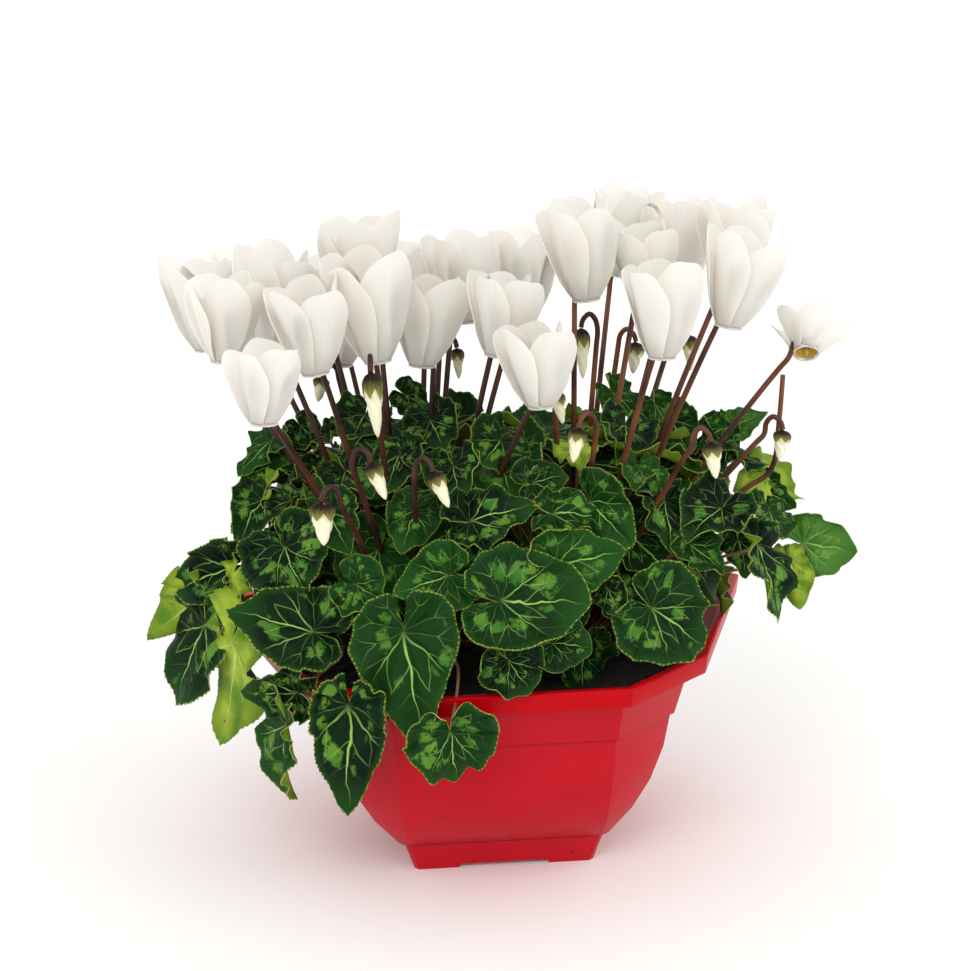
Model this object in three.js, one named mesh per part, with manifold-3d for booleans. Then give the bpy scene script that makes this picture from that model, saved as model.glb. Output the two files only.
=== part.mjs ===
// Potted cyclamen: two white-flowered cyclamen plants in an eight-sided red plastic bowl.
// Millimetres, +Z up, origin on the floor under the middle of the bowl, -Y towards the viewer.
import * as THREE from "three";
import { mergeVertices } from "three/addons/utils/BufferGeometryUtils.js";
import Module from "manifold-3d";

const wasm = await Module();
wasm.setup();

const V = (x, y, z) => new THREE.Vector3(x, y, z);
const UP = V(0, 0, 1);
const TAU = Math.PI * 2;

// Driving dimensions of the bowl: height, half the width across its wide faces, half a wide face.
const BOWL_HEIGHT = 150;
const BOWL_REACH = 135;
const FACE_HALF = 79;
const WALL = 2.6;
const COLLAR_HEIGHT = 13;
const COLLAR_LEDGE = 12;
const FOOT_HEIGHT = 21;
const FLOOR_THICKNESS = 5;
const CLEARANCE = 0.3;
const SOIL_LEVEL = 137;
const NOTCH = { width: 60, depth: 9, height: 3 };
const DRAIN = { radius: 5, offset: 30 };
// How much wider the bowl's back is than its front at the rim, and the heights between which this grows.
const SPLAY = { share: 0.33, from: 50, to: 137 };

// Driving dimensions of the plants.
const CROWNS = { left: V(-50, 6, 131), right: V(52, 10, 131) };
const CORM = { radius: 25, height: 24 };
const STALK_RADIUS = 2.2;
const PETIOLE_RADIUS = 1.3;
const LEAF_THICKNESS = 0.8;
const PETAL_THICKNESS = 0.9;
const MOUTH_RADIUS = 9;
const MOUTH_HEIGHT = 6;

// The leaves stand on a mound: an ellipsoid about this centre. The core is its smaller inside.
const MOUND = { centre: V(4, 8, 152), radii: V(208, 148, 142) };
const CORE = { centre: V(2, 6, 150), radii: V(128, 104, 108) };

// The view that the places below are read from, in pixels of a 970 by 971 picture.
const VIEW = { azimuth: -3.7, elevation: 17.1, roll: -1.6, distance: 2040, focal: 3066 };
const VIEW_TARGET = V(-2, 0, 248);
const VIEW_CENTRE = [485, 485.5];

// Leaves seen in the view. hub: where the stem joins the blade; tip: the blade's point;
// wide: width against length; lift: how far outside the mound, as a share; turn: degrees about the midrib.
const LEAVES = [
  { hub: [283, 547], tip: [310, 600], wide: 1.45, lift: 0.03, turn: 0 },
  { hub: [356, 585], tip: [387, 600], wide: 1.75, lift: 0.03, turn: 10 },
  { hub: [448, 576], tip: [396, 592], wide: 1.35, lift: 0.05, turn: -10 },
  { hub: [314, 632], tip: [230, 612], wide: 1.0, lift: 0.02, turn: 15 },
  { hub: [405, 632], tip: [420, 746], wide: 0.95, lift: 0.03, turn: 0 },
  { hub: [353, 703], tip: [352, 803], wide: 0.85, lift: 0.1, turn: 0 },
  { hub: [450, 732], tip: [456, 780], wide: 1.5, lift: 0.08, turn: -8 },
  { hub: [298, 693], tip: [244, 689], wide: 0.9, lift: 0.06, turn: -20 },
  { hub: [287, 722], tip: [290, 797], wide: 0.7, lift: 0.1, turn: 55 },
  { hub: [236, 640], tip: [208, 745], wide: 0.75, lift: 0.02, turn: 50 },
  { hub: [200, 600], tip: [152, 640], wide: 0.95, lift: 0.02, turn: -35 },
  { hub: [228, 572], tip: [172, 592], wide: 0.8, lift: 0.0, turn: 40 },
  { hub: [240, 530], tip: [196, 556], wide: 1.0, lift: 0.0, turn: -30 },
  { hub: [262, 492], tip: [228, 520], wide: 1.1, lift: 0.0, turn: 25 },
  { hub: [275, 465], tip: [240, 480], wide: 1.1, lift: -0.02, turn: -15 },
  { hub: [499, 602], tip: [590, 606], wide: 1.1, lift: 0.05, turn: -12 },
  { hub: [556, 566], tip: [628, 551], wide: 0.95, lift: 0.04, turn: 8 },
  { hub: [508, 660], tip: [533, 692], wide: 1.6, lift: 0.0, turn: 6 },
  { hub: [651, 608], tip: [706, 648], wide: 1.3, lift: -0.02, turn: 4 },
  { hub: [470, 522], tip: [536, 506], wide: 0.95, lift: 0.03, turn: -12 },
  { hub: [453, 466], tip: [461, 500], wide: 1.3, lift: 0.03, turn: 12 },
  { hub: [532, 484], tip: [566, 476], wide: 1.4, lift: 0.0, turn: 0 },
  { hub: [552, 514], tip: [608, 518], wide: 0.9, lift: 0.02, turn: -18 },
  { hub: [590, 500], tip: [632, 546], wide: 1.0, lift: 0.02, turn: 20 },
  { hub: [664, 500], tip: [668, 556], wide: 0.95, lift: -0.02, turn: -25 },
  { hub: [722, 508], tip: [686, 545], wide: 1.2, lift: 0.05, turn: 28 },
  { hub: [803, 544], tip: [857, 552], wide: 1.1, lift: 0.05, turn: 12 },
  { hub: [757, 545], tip: [776, 624], wide: 0.75, lift: 0.1, turn: -35 },
  { hub: [788, 560], tip: [800, 608], wide: 0.7, lift: 0.02, turn: 45 },
  { hub: [775, 480], tip: [818, 500], wide: 0.9, lift: 0.02, turn: -40 },
  { hub: [735, 425], tip: [768, 412], wide: 0.95, lift: 0.04, turn: 15 },
  { hub: [712, 430], tip: [742, 462], wide: 0.9, lift: 0.0, turn: -15 },
  { hub: [672, 420], tip: [690, 456], wide: 1.0, lift: 0.04, turn: 30 },
  { hub: [625, 425], tip: [622, 462], wide: 1.2, lift: 0.03, turn: -20 },
  { hub: [612, 392], tip: [640, 424], wide: 1.1, lift: 0.0, turn: 0 },
  { hub: [580, 450], tip: [548, 436], wide: 1.2, lift: 0.02, turn: 25 },
  { hub: [430, 420], tip: [446, 452], wide: 1.3, lift: 0.02, turn: 10 },
  { hub: [400, 455], tip: [392, 500], wide: 1.1, lift: 0.0, turn: 18 },
  { hub: [330, 435], tip: [300, 452], wide: 1.2, lift: 0.0, turn: 10 },
  { hub: [330, 512], tip: [352, 556], wide: 1.1, lift: 0.0, turn: 8 },
];
// Leaves round the back and sides, which the view doesn't show: rings of a golden-angle spread.
const BACK_LEAVES = 15;
const GOLDEN_ANGLE = 2.39996;

// Blooms: mouth: pixel of the flower's open end; y: its depth; height: petal length;
// lean: degrees that its top leans right of upright in the view; back: how far it leans away, as a share;
// stalk: side that the stalk comes up on, in degrees from +X through the far side.
const BLOOMS = [
  { mouth: [208, 350], y: 45, height: 60, lean: -8, stalk: 54, crown: "left" },
  { mouth: [224, 362], y: -50, height: 54, lean: 4, stalk: 90, crown: "left" },
  { mouth: [264, 424], y: -118, height: 54, lean: 2, stalk: 126, crown: "left" },
  { mouth: [272, 354], y: 0, height: 72, lean: 4, stalk: 54, crown: "left" },
  { mouth: [250, 340], y: 92, height: 58, lean: 2, stalk: 90, crown: "left" },
  { mouth: [316, 374], y: -70, height: 58, lean: -6, stalk: 72, crown: "left" },
  { mouth: [322, 346], y: 68, height: 60, lean: -2, stalk: 126, crown: "left" },
  { mouth: [340, 366], y: 116, height: 54, lean: 0, stalk: 54, crown: "left" },
  { mouth: [378, 362], y: -37, height: 72, lean: -6, stalk: 54, crown: "left" },
  { mouth: [366, 318], y: 23, height: 72, lean: -4, stalk: 126, crown: "left" },
  { mouth: [414, 336], y: 88, height: 62, lean: 4, stalk: 90, crown: "left" },
  { mouth: [422, 366], y: 2, height: 60, lean: 6, stalk: 126, crown: "left" },
  { mouth: [464, 322], y: 48, height: 60, lean: 0, stalk: 54, crown: "left" },
  { mouth: [498, 356], y: -40, height: 54, lean: 8, stalk: 54, crown: "left" },
  { mouth: [528, 312], y: 74, height: 54, lean: -2, stalk: 126, crown: "left" },
  { mouth: [542, 407], y: -88, height: 52, lean: -4, stalk: 118, crown: "left" },
  { mouth: [587, 300], y: -22, height: 62, lean: -6, stalk: 54, crown: "right" },
  { mouth: [624, 276], y: 98, height: 60, lean: 4, stalk: 90, crown: "right" },
  { mouth: [662, 358], y: -80, height: 62, lean: 2, stalk: 54, crown: "right" },
  { mouth: [648, 302], y: 4, height: 52, lean: -4, stalk: 126, crown: "right" },
  { mouth: [682, 288], y: 54, height: 60, lean: 0, stalk: 90, crown: "right" },
  { mouth: [728, 327], y: -54, height: 62, lean: 12, stalk: 126, crown: "right" },
  { mouth: [734, 290], y: 8, height: 62, lean: 6, stalk: 54, crown: "right" },
  { mouth: [806, 354], y: 10, height: 46, lean: 12, back: 0.9, stalk: 250, crown: "right" },
];

// Buds: top and tip pixels of the nodding bud, its depth y, and thickness of the bud.
const BUDS = [
  { top: [581, 328], tip: [583, 379], y: 20, girth: 5.2, crown: "right" },
  { top: [636, 342], tip: [633, 374], y: 70, girth: 5.6, crown: "right" },
  { top: [689, 335], tip: [691, 371], y: 78, girth: 5, crown: "right" },
  { top: [371, 372], tip: [378, 438], y: -84, girth: 6, crown: "left" },
  { top: [322, 377], tip: [318, 402], y: 84, girth: 5.2, crown: "left" },
  { top: [457, 348], tip: [459, 379], y: 80, girth: 4.2, crown: "left" },
  { top: [371, 463], tip: [386, 500], y: -112, girth: 5.4, crown: "left" },
  { top: [433, 472], tip: [449, 508], y: -118, girth: 5.2, crown: "left" },
  { top: [322, 502], tip: [324, 546], y: -136, girth: 7.4, crown: "left" },
  { top: [579, 428], tip: [573, 463], y: -96, girth: 5.4, crown: "right" },
  { top: [711, 442], tip: [716, 479], y: -104, girth: 5.8, crown: "right" },
  { top: [783, 430], tip: [779, 460], y: -30, girth: 5.4, crown: "right" },
  { top: [556, 392], tip: [563, 424], y: -60, girth: 4.6, crown: "right" },
];

// A stalk that has lost its flower: the pixel of its cut end.
const BARE_STALK = { end: [783, 375], y: 0, crown: "right" };

// Camera of the view: its position and its right, up and forward directions.
function viewAxes() {
  const azimuth = THREE.MathUtils.degToRad(VIEW.azimuth);
  const elevation = THREE.MathUtils.degToRad(VIEW.elevation);
  const level = Math.cos(elevation);
  const back = V(Math.sin(azimuth) * level, -Math.cos(azimuth) * level, Math.sin(elevation));
  const forward = back.clone().negate();
  const roll = THREE.MathUtils.degToRad(VIEW.roll);
  const right = forward.clone().cross(UP).normalize().applyAxisAngle(forward, -roll);
  const up = right.clone().cross(forward);
  const eye = VIEW_TARGET.clone().addScaledVector(back, VIEW.distance);
  return { eye, forward, right, up };
}
const SEEN = viewAxes();

function ray([u, v]) {
  return SEEN.forward
    .clone()
    .addScaledVector(SEEN.right, (u - VIEW_CENTRE[0]) / VIEW.focal)
    .addScaledVector(SEEN.up, (VIEW_CENTRE[1] - v) / VIEW.focal)
    .normalize();
}

// The point at a pixel that lies at a depth y.
function atDepth(pixel, y) {
  const along = ray(pixel);
  return SEEN.eye.clone().addScaledVector(along, (y - SEEN.eye.y) / along.y);
}

// The point at a pixel on the mound, grown by lift. Beside the mound it is the ray's nearest point to it.
function onMound(pixel, lift) {
  const radii = MOUND.radii.clone().multiplyScalar(1 + lift);
  const from = SEEN.eye.clone().sub(MOUND.centre).divide(radii);
  const along = ray(pixel).divide(radii);
  const a = along.dot(along);
  const b = from.dot(along);
  const c = from.dot(from) - 1;
  const reach = (-b - Math.sqrt(Math.max(0, b * b - a * c))) / a;
  return from.addScaledVector(along, reach).multiply(radii).add(MOUND.centre);
}

// A repeatable draw from 0 to 1 for piece number i and trait k.
function draw(i, k) {
  const s = Math.sin(i * 12.9898 + k * 78.233) * 43758.5453;
  return s - Math.floor(s);
}

function geometryOf(points, triangles) {
  const flat = points.flatMap((p) => [p.x, p.y, p.z]);
  const geometry = new THREE.BufferGeometry();
  geometry.setAttribute("position", new THREE.Float32BufferAttribute(flat, 3));
  geometry.setIndex(triangles.flat());
  return geometry;
}

function solidOf(geometry) {
  const bare = geometry.clone();
  bare.deleteAttribute("normal");
  bare.deleteAttribute("uv");
  const merged = mergeVertices(bare, 1e-4);
  const mesh = new wasm.Mesh({
    numProp: 3,
    vertProperties: new Float32Array(merged.attributes.position.array),
    triVerts: new Uint32Array(merged.index.array),
  });
  return new wasm.Manifold(mesh);
}

// The solid as a geometry, with only its largest body.
function geometryFrom(solid) {
  const bodies = solid.decompose().sort((a, b) => b.volume() - a.volume());
  const mesh = bodies[0].getMesh();
  const geometry = new THREE.BufferGeometry();
  geometry.setAttribute("position", new THREE.Float32BufferAttribute(mesh.vertProperties, 3));
  geometry.setIndex(new THREE.BufferAttribute(mesh.triVerts, 1));
  return geometry;
}

const unite = (solids) => solids.reduce((sum, next) => sum.add(next));

// A thin closed body: a sheet of triangles, the same sheet moved by offset, and walls round its edge.
function thinBody(points, triangles, offset) {
  const count = points.length;
  const moved = points.map((p) => p.clone().add(offset));
  const back = triangles.map(([a, b, c]) => [a + count, c + count, b + count]);
  const edges = new Map();
  for (const [a, b, c] of triangles)
    for (const [from, to] of [
      [a, b],
      [b, c],
      [c, a],
    ])
      edges.set(from + "_" + to, [from, to]);
  const walls = [];
  for (const [from, to] of edges.values())
    if (!edges.has(to + "_" + from)) walls.push([to, from, from + count], [to, from + count, to + count]);
  const corners = [...points, ...moved];
  const faces = [...triangles, ...back, ...walls];
  const solid = solidOf(geometryOf(corners, faces));
  if (solid.volume() > 0) return solid;
  return solidOf(geometryOf(corners, flipped(faces)));
}

const flipped = (triangles) => triangles.map(([a, b, c]) => [a, c, b]);

// A smooth curve whose steps fall on its own points, so that a hook gets as many as it needs.
class KnotCurve extends THREE.CatmullRomCurve3 {
  getUtoTmapping(u) {
    return u;
  }
}

function tube(points, radius, sides) {
  const section = new THREE.Shape();
  for (let i = 0; i < sides; i++) {
    const angle = (i / sides) * TAU;
    section[i ? "lineTo" : "moveTo"](radius * Math.cos(angle), radius * Math.sin(angle));
  }
  section.closePath();
  const curve = new KnotCurve(points, false, "centripetal");
  const geometry = new THREE.ExtrudeGeometry(section, {
    steps: points.length - 1,
    extrudePath: curve,
    curveSegments: 1,
  });
  return solidOf(geometry);
}

// One level of the bowl: a square of half width reach whose faces are 2 half wide, with cut corners.
// Its back corners stand further out than its front ones, so its sides splay.
function bowlRing(z, reach, half) {
  const grown = THREE.MathUtils.clamp((z - SPLAY.from) / (SPLAY.to - SPLAY.from), 0, 1);
  const back = 1 + SPLAY.share * grown;
  return [
    V(half, -reach, z),
    V(reach, -half, z),
    V(reach * back, half, z),
    V(half * back, reach, z),
    V(-half * back, reach, z),
    V(-reach * back, half, z),
    V(-reach, -half, z),
    V(-half, -reach, z),
  ];
}

// A closed body through rings of equal counts, listed from its bottom outside to its inside,
// or, for a plain body, from its top down.
function loft(rings, downward = false) {
  const sides = rings[0].length;
  const triangles = [];
  for (let r = 0; r + 1 < rings.length; r++)
    for (let i = 0; i < sides; i++) {
      const j = (i + 1) % sides;
      const [a, b, c, d] = [r * sides + i, r * sides + j, (r + 1) * sides + j, (r + 1) * sides + i];
      triangles.push([a, b, c], [a, c, d]);
    }
  const last = (rings.length - 1) * sides;
  for (let i = 1; i + 1 < sides; i++) {
    triangles.push([0, i + 1, i]);
    triangles.push([last, last + i, last + i + 1]);
  }
  return solidOf(geometryOf(rings.flat(), downward ? flipped(triangles) : triangles));
}

// The outside of the bowl from the floor up: height, reach, half face.
const OUTSIDE = [
  [0, 60, 57],
  [FOOT_HEIGHT - 1, 66, 64],
  [FOOT_HEIGHT + 1, 70, 65],
  [40, 86, 67],
  [60, 98, 68.5],
  [84, 107, 70],
  [107, 111.5, 71],
  [107.5, 114, 72],
  [BOWL_HEIGHT - COLLAR_HEIGHT - 0.5, 122, 75.5],
];
const COLLAR_BASE = BOWL_HEIGHT - COLLAR_HEIGHT;
const COLLAR = [
  [COLLAR_BASE, 122 + COLLAR_LEDGE, FACE_HALF - 0.5],
  [BOWL_HEIGHT - 1, BOWL_REACH + 0.5, FACE_HALF + 0.5],
  [BOWL_HEIGHT, BOWL_REACH - 0.5, FACE_HALF],
];
const RIM_WIDTH = 4.5;
const INSIDE_TOP = [
  [BOWL_HEIGHT, BOWL_REACH - RIM_WIDTH, FACE_HALF - 1.8],
  [COLLAR_BASE + 2.5, BOWL_REACH - RIM_WIDTH - 1.5, FACE_HALF - 2.4],
];

// The inside wall levels, from the top down to the inner floor, moved in by extra.
function insideLevels(extra) {
  const wall = OUTSIDE.slice(2)
    .map(([z, reach, half]) => [z, reach - WALL - extra, half - WALL * 0.5 - extra])
    .reverse();
  const floor = [FLOOR_THICKNESS + extra, 57 - extra, 54 - extra];
  return [...wall, floor];
}

function bowl() {
  const levels = [...OUTSIDE, ...COLLAR, ...INSIDE_TOP, ...insideLevels(0)];
  let made = loft(levels.map(([z, reach, half]) => bowlRing(z, reach, half)));
  for (const side of [0, 1, 2, 3]) {
    const notch = new THREE.BoxGeometry(NOTCH.width, NOTCH.depth * 2, NOTCH.height * 2);
    notch.translate(0, -OUTSIDE[0][1], 0).rotateZ((side * TAU) / 4);
    made = made.subtract(solidOf(notch));
    const drain = new THREE.CylinderGeometry(DRAIN.radius, DRAIN.radius, FLOOR_THICKNESS * 4, 8);
    drain.rotateX(Math.PI / 2).translate(DRAIN.offset, 0, 0).rotateZ(((side + 0.5) * TAU) / 4);
    made = made.subtract(solidOf(drain));
  }
  return made;
}

// What a piece that passes over the bowl keeps clear of: its outside, grown, with the inside full.
function bowlRoom() {
  const grow = 1;
  const lower = [...OUTSIDE, COLLAR[0]].map(([z, reach, half]) => [z - grow, reach + grow, half + grow]);
  const upper = COLLAR.slice(1).map(([z, reach, half]) => [z + grow, reach + grow, half + grow]);
  return loft([...lower, ...upper].map(([z, reach, half]) => bowlRing(z, reach, half)));
}

// The open inside of the bowl above the soil, where stems may stand.
function bowlMouth() {
  const reach = BOWL_REACH - RIM_WIDTH - 3;
  const levels = [
    [SOIL_LEVEL + 2.2, 116, 72],
    [BOWL_HEIGHT + 4, reach, FACE_HALF - 4],
  ];
  return loft(levels.map(([z, half, face]) => bowlRing(z, half, face)));
}

// The bowl's inside below its rim, moved in by extra. It runs down as the wall does, so their faces match.
function bowlInside(extra) {
  const wall = insideLevels(extra);
  const [, reach, half] = wall[0];
  const levels = [[BOWL_HEIGHT, reach, half], ...wall];
  return loft(
    levels.map(([z, r, h]) => bowlRing(z, r, h)),
    true,
  );
}

// Points of a level with each of its eight sides split, so that its surface can be uneven.
function splitRing(z, reach, half, splits) {
  const corners = bowlRing(z, reach, half);
  return corners.flatMap((corner, i) => {
    const next = corners[(i + 1) % corners.length];
    return Array.from({ length: splits }, (_, k) => corner.clone().lerp(next, k / splits));
  });
}

const SOIL_SPLITS = 2;
const CRUMB_HEIGHT = 1.6;

function crumbled(point, k) {
  const bump = Math.sin(point.x * 0.21 + k) * Math.cos(point.y * 0.17 - k);
  return V(point.x, point.y, point.z + CRUMB_HEIGHT * bump);
}

// The soil: a crumbly top that dips a little at the wall, filling the bowl's inside.
const SOIL_HEART = { reach: 118, half: 72 };
const SOIL_DIP = 4.5;

function soil(rooms) {
  const below = splitRing(0, SOIL_HEART.reach + 32, SOIL_HEART.half + 18, SOIL_SPLITS);
  const edge = splitRing(SOIL_LEVEL - SOIL_DIP, SOIL_HEART.reach + 6, SOIL_HEART.half + 6, SOIL_SPLITS);
  const top = [0.86, 0.62, 0.34].map((share) => {
    const ring = splitRing(SOIL_LEVEL, SOIL_HEART.reach * share, SOIL_HEART.half * share, SOIL_SPLITS);
    return ring.map((point) => crumbled(point, share * 9));
  });
  const ground = loft([below, edge, ...top]).intersect(bowlInside(CLEARANCE));
  return rooms.reduce((rest, room) => rest.subtract(room), ground);
}

// A corm: a flattened round tuber, its rounded top just out of the soil.
function corm(crown, grow) {
  const outline = [];
  for (let i = 0; i <= 6; i++) {
    const angle = -Math.PI / 2 + (i / 6) * Math.PI;
    outline.push(
      new THREE.Vector2((CORM.radius + grow) * Math.cos(angle), (CORM.height / 2 + grow) * Math.sin(angle)),
    );
  }
  outline[0].x = 0;
  outline[outline.length - 1].x = 0;
  const body = new THREE.LatheGeometry(outline, 12);
  body.rotateX(Math.PI / 2).translate(crown.x, crown.y, crown.z);
  return solidOf(body);
}

// Directions of a bloom: its own up, towards its petal tips, and two across.
function bloomAxes(bloom) {
  const lean = THREE.MathUtils.degToRad(bloom.lean);
  const up = V(Math.sin(lean), bloom.back ?? 0.06, Math.cos(lean)).normalize();
  const across = V(1, 0, 0).addScaledVector(up, -up.x).normalize();
  return { up, across, away: up.clone().cross(across) };
}

const PETALS = 5;
// A petal's points: share of its height, and place across it in shares of half its width there.
const PETAL_POINTS = [
  [0, -1],
  [0, 1],
  [0.45, -1],
  [0.45, 0],
  [0.45, 1],
  [0.86, -0.82],
  [0.86, 0],
  [0.86, 0.82],
  [1, 0],
];
const PETAL_TRIANGLES = [
  [0, 1, 3],
  [0, 3, 2],
  [1, 4, 3],
  [2, 3, 6],
  [2, 6, 5],
  [3, 4, 7],
  [3, 7, 6],
  [5, 6, 8],
  [6, 7, 8],
];

// Half of a petal's width at a share of its height.
const petalHalf = (share) => 4.2 + 11.5 * Math.sin(Math.min(1, share * 1.5) * 1.35);

// How far a petal stands out from the bloom's axis at a share of its height.
const petalOut = (share) => MOUTH_RADIUS - 1.2 + 15 * Math.sin(share * 1.9) * (1 - 0.12 * share);

// One petal: a broad upright blade, one edge turned out and the other in, so that neighbours overlap.
function petal(bloom, number) {
  const { up, across, away } = bloomAxes(bloom);
  const base = atDepth(bloom.mouth, bloom.y);
  const angle = THREE.MathUtils.degToRad(bloom.stalk) + ((number + 0.5) / PETALS) * TAU;
  const out = across.clone().multiplyScalar(Math.cos(angle)).addScaledVector(away, Math.sin(angle));
  const side = up.clone().cross(out);
  const girth = Math.sqrt(bloom.height / 60);
  const points = PETAL_POINTS.map(([share, t]) => {
    const swing = t * (3.4 * Math.min(1, share * 4) + 1.6 * share) - t * t * 2 * share;
    return base
      .clone()
      .addScaledVector(up, share * bloom.height + 1)
      .addScaledVector(side, t * petalHalf(share) * (share ? girth : 1))
      .addScaledVector(out, (petalOut(share) + swing) * (share ? girth : 1));
  });
  return thinBody(points, PETAL_TRIANGLES, out.clone().multiplyScalar(-PETAL_THICKNESS));
}

// Where the cup's first corner stands, so that each petal rises from the middle of one of its sides.
const cupTurn = (bloom) => Math.PI / 2 + THREE.MathUtils.degToRad(bloom.stalk);

// The flower's open end: a short cup, open downwards, closed above where the stalk joins.
function mouthCup(bloom) {
  const { up } = bloomAxes(bloom);
  const outline = [
    [0, MOUTH_HEIGHT],
    [MOUTH_RADIUS - 2.5, MOUTH_HEIGHT],
    [MOUTH_RADIUS, 0],
    [MOUTH_RADIUS - 1.6, 0],
    [MOUTH_RADIUS - 4, MOUTH_HEIGHT - 2],
    [0, MOUTH_HEIGHT - 2],
  ].map(([x, y]) => new THREE.Vector2(x, y));
  const cup = new THREE.LatheGeometry(outline.reverse(), PETALS, cupTurn(bloom));
  const turn = new THREE.Quaternion().setFromUnitVectors(V(0, 1, 0), up);
  cup.applyQuaternion(turn);
  const base = atDepth(bloom.mouth, bloom.y);
  cup.translate(base.x, base.y, base.z);
  return solidOf(cup);
}

// The foot of a stalk, sunk into the top of its corm on the side it grows towards.
function stalkFoot(crown, towards) {
  const centre = CROWNS[crown];
  const way = V(towards.x - centre.x, towards.y - centre.y, 0);
  const reach = Math.min(15, 4 + way.length() * 0.12);
  return centre.clone().addScaledVector(way.normalize(), reach).add(V(0, 0, CORM.height / 2 - 6));
}

// A bloom's stalk: up from the corm, past the mouth, over between two petals and down to the cup.
function bloomStalkPoints(bloom) {
  const { up, across, away } = bloomAxes(bloom);
  const base = atDepth(bloom.mouth, bloom.y);
  const angle = THREE.MathUtils.degToRad(bloom.stalk);
  const out = across.clone().multiplyScalar(Math.cos(angle)).addScaledVector(away, Math.sin(angle));
  const at = (side, height) => base.clone().addScaledVector(out, side).addScaledVector(up, height);
  const beside = at(MOUTH_RADIUS + 4.5, -6);
  const foot = stalkFoot(bloom.crown, beside);
  const rise = beside.clone().sub(foot);
  const along = (share, bow) => foot.clone().addScaledVector(rise, share).add(V(0, 0, bow));
  return [
    foot,
    along(0.6, 7),
    beside,
    at(MOUTH_RADIUS + 1, 9),
    at(5.5, 17),
    at(0.8, 14),
    at(0, MOUTH_HEIGHT + CLEARANCE * 2),
  ];
}

// A bud's place: where it hangs from, its tip, and the hook of its stalk.
function budPlace(bud) {
  const top = atDepth(bud.top, bud.y);
  const tip = atDepth(bud.tip, bud.y - 2);
  return { top, tip, along: tip.clone().sub(top).normalize() };
}

function budStalkPoints(bud) {
  const { top, along } = budPlace(bud);
  const crown = CROWNS[bud.crown];
  const inward = V(crown.x - top.x, crown.y - top.y + 6, 0).normalize();
  const foot = stalkFoot(bud.crown, top);
  const shoulder = top.clone().addScaledVector(inward, 13).add(V(0, 0, -8));
  return [
    foot,
    shoulder,
    top.clone().addScaledVector(inward, 9).add(V(0, 0, 6)),
    top.clone().addScaledVector(inward, 3).addScaledVector(along, -8),
    top.clone().addScaledVector(along, -CLEARANCE * 4),
  ];
}

// A bud: a swollen calyx above and the furled petals drawn to a point below.
function budHead(bud, grow) {
  const { top, tip, along } = budPlace(bud);
  const length = top.distanceTo(tip) + grow;
  const outline = [
    [0, -grow],
    [bud.girth * 0.55 + grow, -grow],
    [bud.girth + grow, length * 0.16],
    [bud.girth * 0.98 + grow, length * 0.32],
    [bud.girth * 0.62 + grow, length * 0.5],
    [bud.girth * 0.45 + grow, length * 0.78],
    [0, length],
  ].map(([x, y]) => new THREE.Vector2(x, y));
  const head = new THREE.LatheGeometry(outline, 6);
  head.applyQuaternion(new THREE.Quaternion().setFromUnitVectors(V(0, 1, 0), along));
  head.translate(top.x, top.y, top.z);
  return solidOf(head);
}

const STALK_SIDES = 3;

function bareStalkPoints() {
  const end = atDepth(BARE_STALK.end, BARE_STALK.y);
  const foot = stalkFoot(BARE_STALK.crown, end);
  const rise = end.clone().sub(foot);
  return [foot, foot.clone().addScaledVector(rise, 0.5).add(V(0, 0, -14)), end];
}

// All stalk centre lines of one plant.
function stalkLines(crown) {
  const lines = BLOOMS.filter((b) => b.crown === crown).map(bloomStalkPoints);
  lines.push(...BUDS.filter((b) => b.crown === crown).map(budStalkPoints));
  if (BARE_STALK.crown === crown) lines.push(bareStalkPoints());
  return lines;
}

// Leaf blades: outline about the hub, tip at angle 0, with a notch at the back where the stem joins.
const BLADE_POINTS = 15;
const MIDDLE = 0.3;
const NOTCH_ANGLE = THREE.MathUtils.degToRad(162);

function bladeRadius(angle, wide) {
  const forward = Math.max(0, Math.cos(angle)) ** 4;
  const heart = 0.6 + 0.12 * Math.cos(angle) + 0.28 * forward;
  const spread = Math.abs(Math.sin(angle)) * (wide - 1) * 0.55;
  return heart + spread;
}

// Height of the blade above its own plane, at a place given in shares of its length.
function bladeRise(i, angle, radius) {
  const cup = 0.16 * draw(i, 1) * radius;
  const wave = 0.07 * radius * radius * Math.sin(3 * angle + TAU * draw(i, 2));
  const fold = (0.28 * draw(i, 3) - 0.06) * Math.abs(Math.sin(angle)) * radius;
  const droop = -(0.1 + 0.16 * draw(i, 4)) * Math.max(0, Math.cos(angle)) * radius * radius;
  return cup + wave + fold + droop;
}

// The frame of a leaf: its hub, its directions to the tip, to the side and out of its face.
function leafFrame(leaf) {
  const hub = onMound(leaf.hub, leaf.lift);
  const tip = onMound(leaf.tip, leaf.lift);
  return leafAxes(hub, tip, leaf.turn);
}

function leafAxes(hub, tip, turn) {
  const forward = tip.clone().sub(hub);
  const length = forward.length();
  forward.normalize();
  const face = hub.clone().add(tip).multiplyScalar(0.5).sub(MOUND.centre);
  face.divide(MOUND.radii).divide(MOUND.radii).normalize();
  face.addScaledVector(forward, -face.dot(forward)).normalize();
  face.applyAxisAngle(forward, THREE.MathUtils.degToRad(turn));
  return { hub, forward, face, side: face.clone().cross(forward), length };
}

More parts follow.
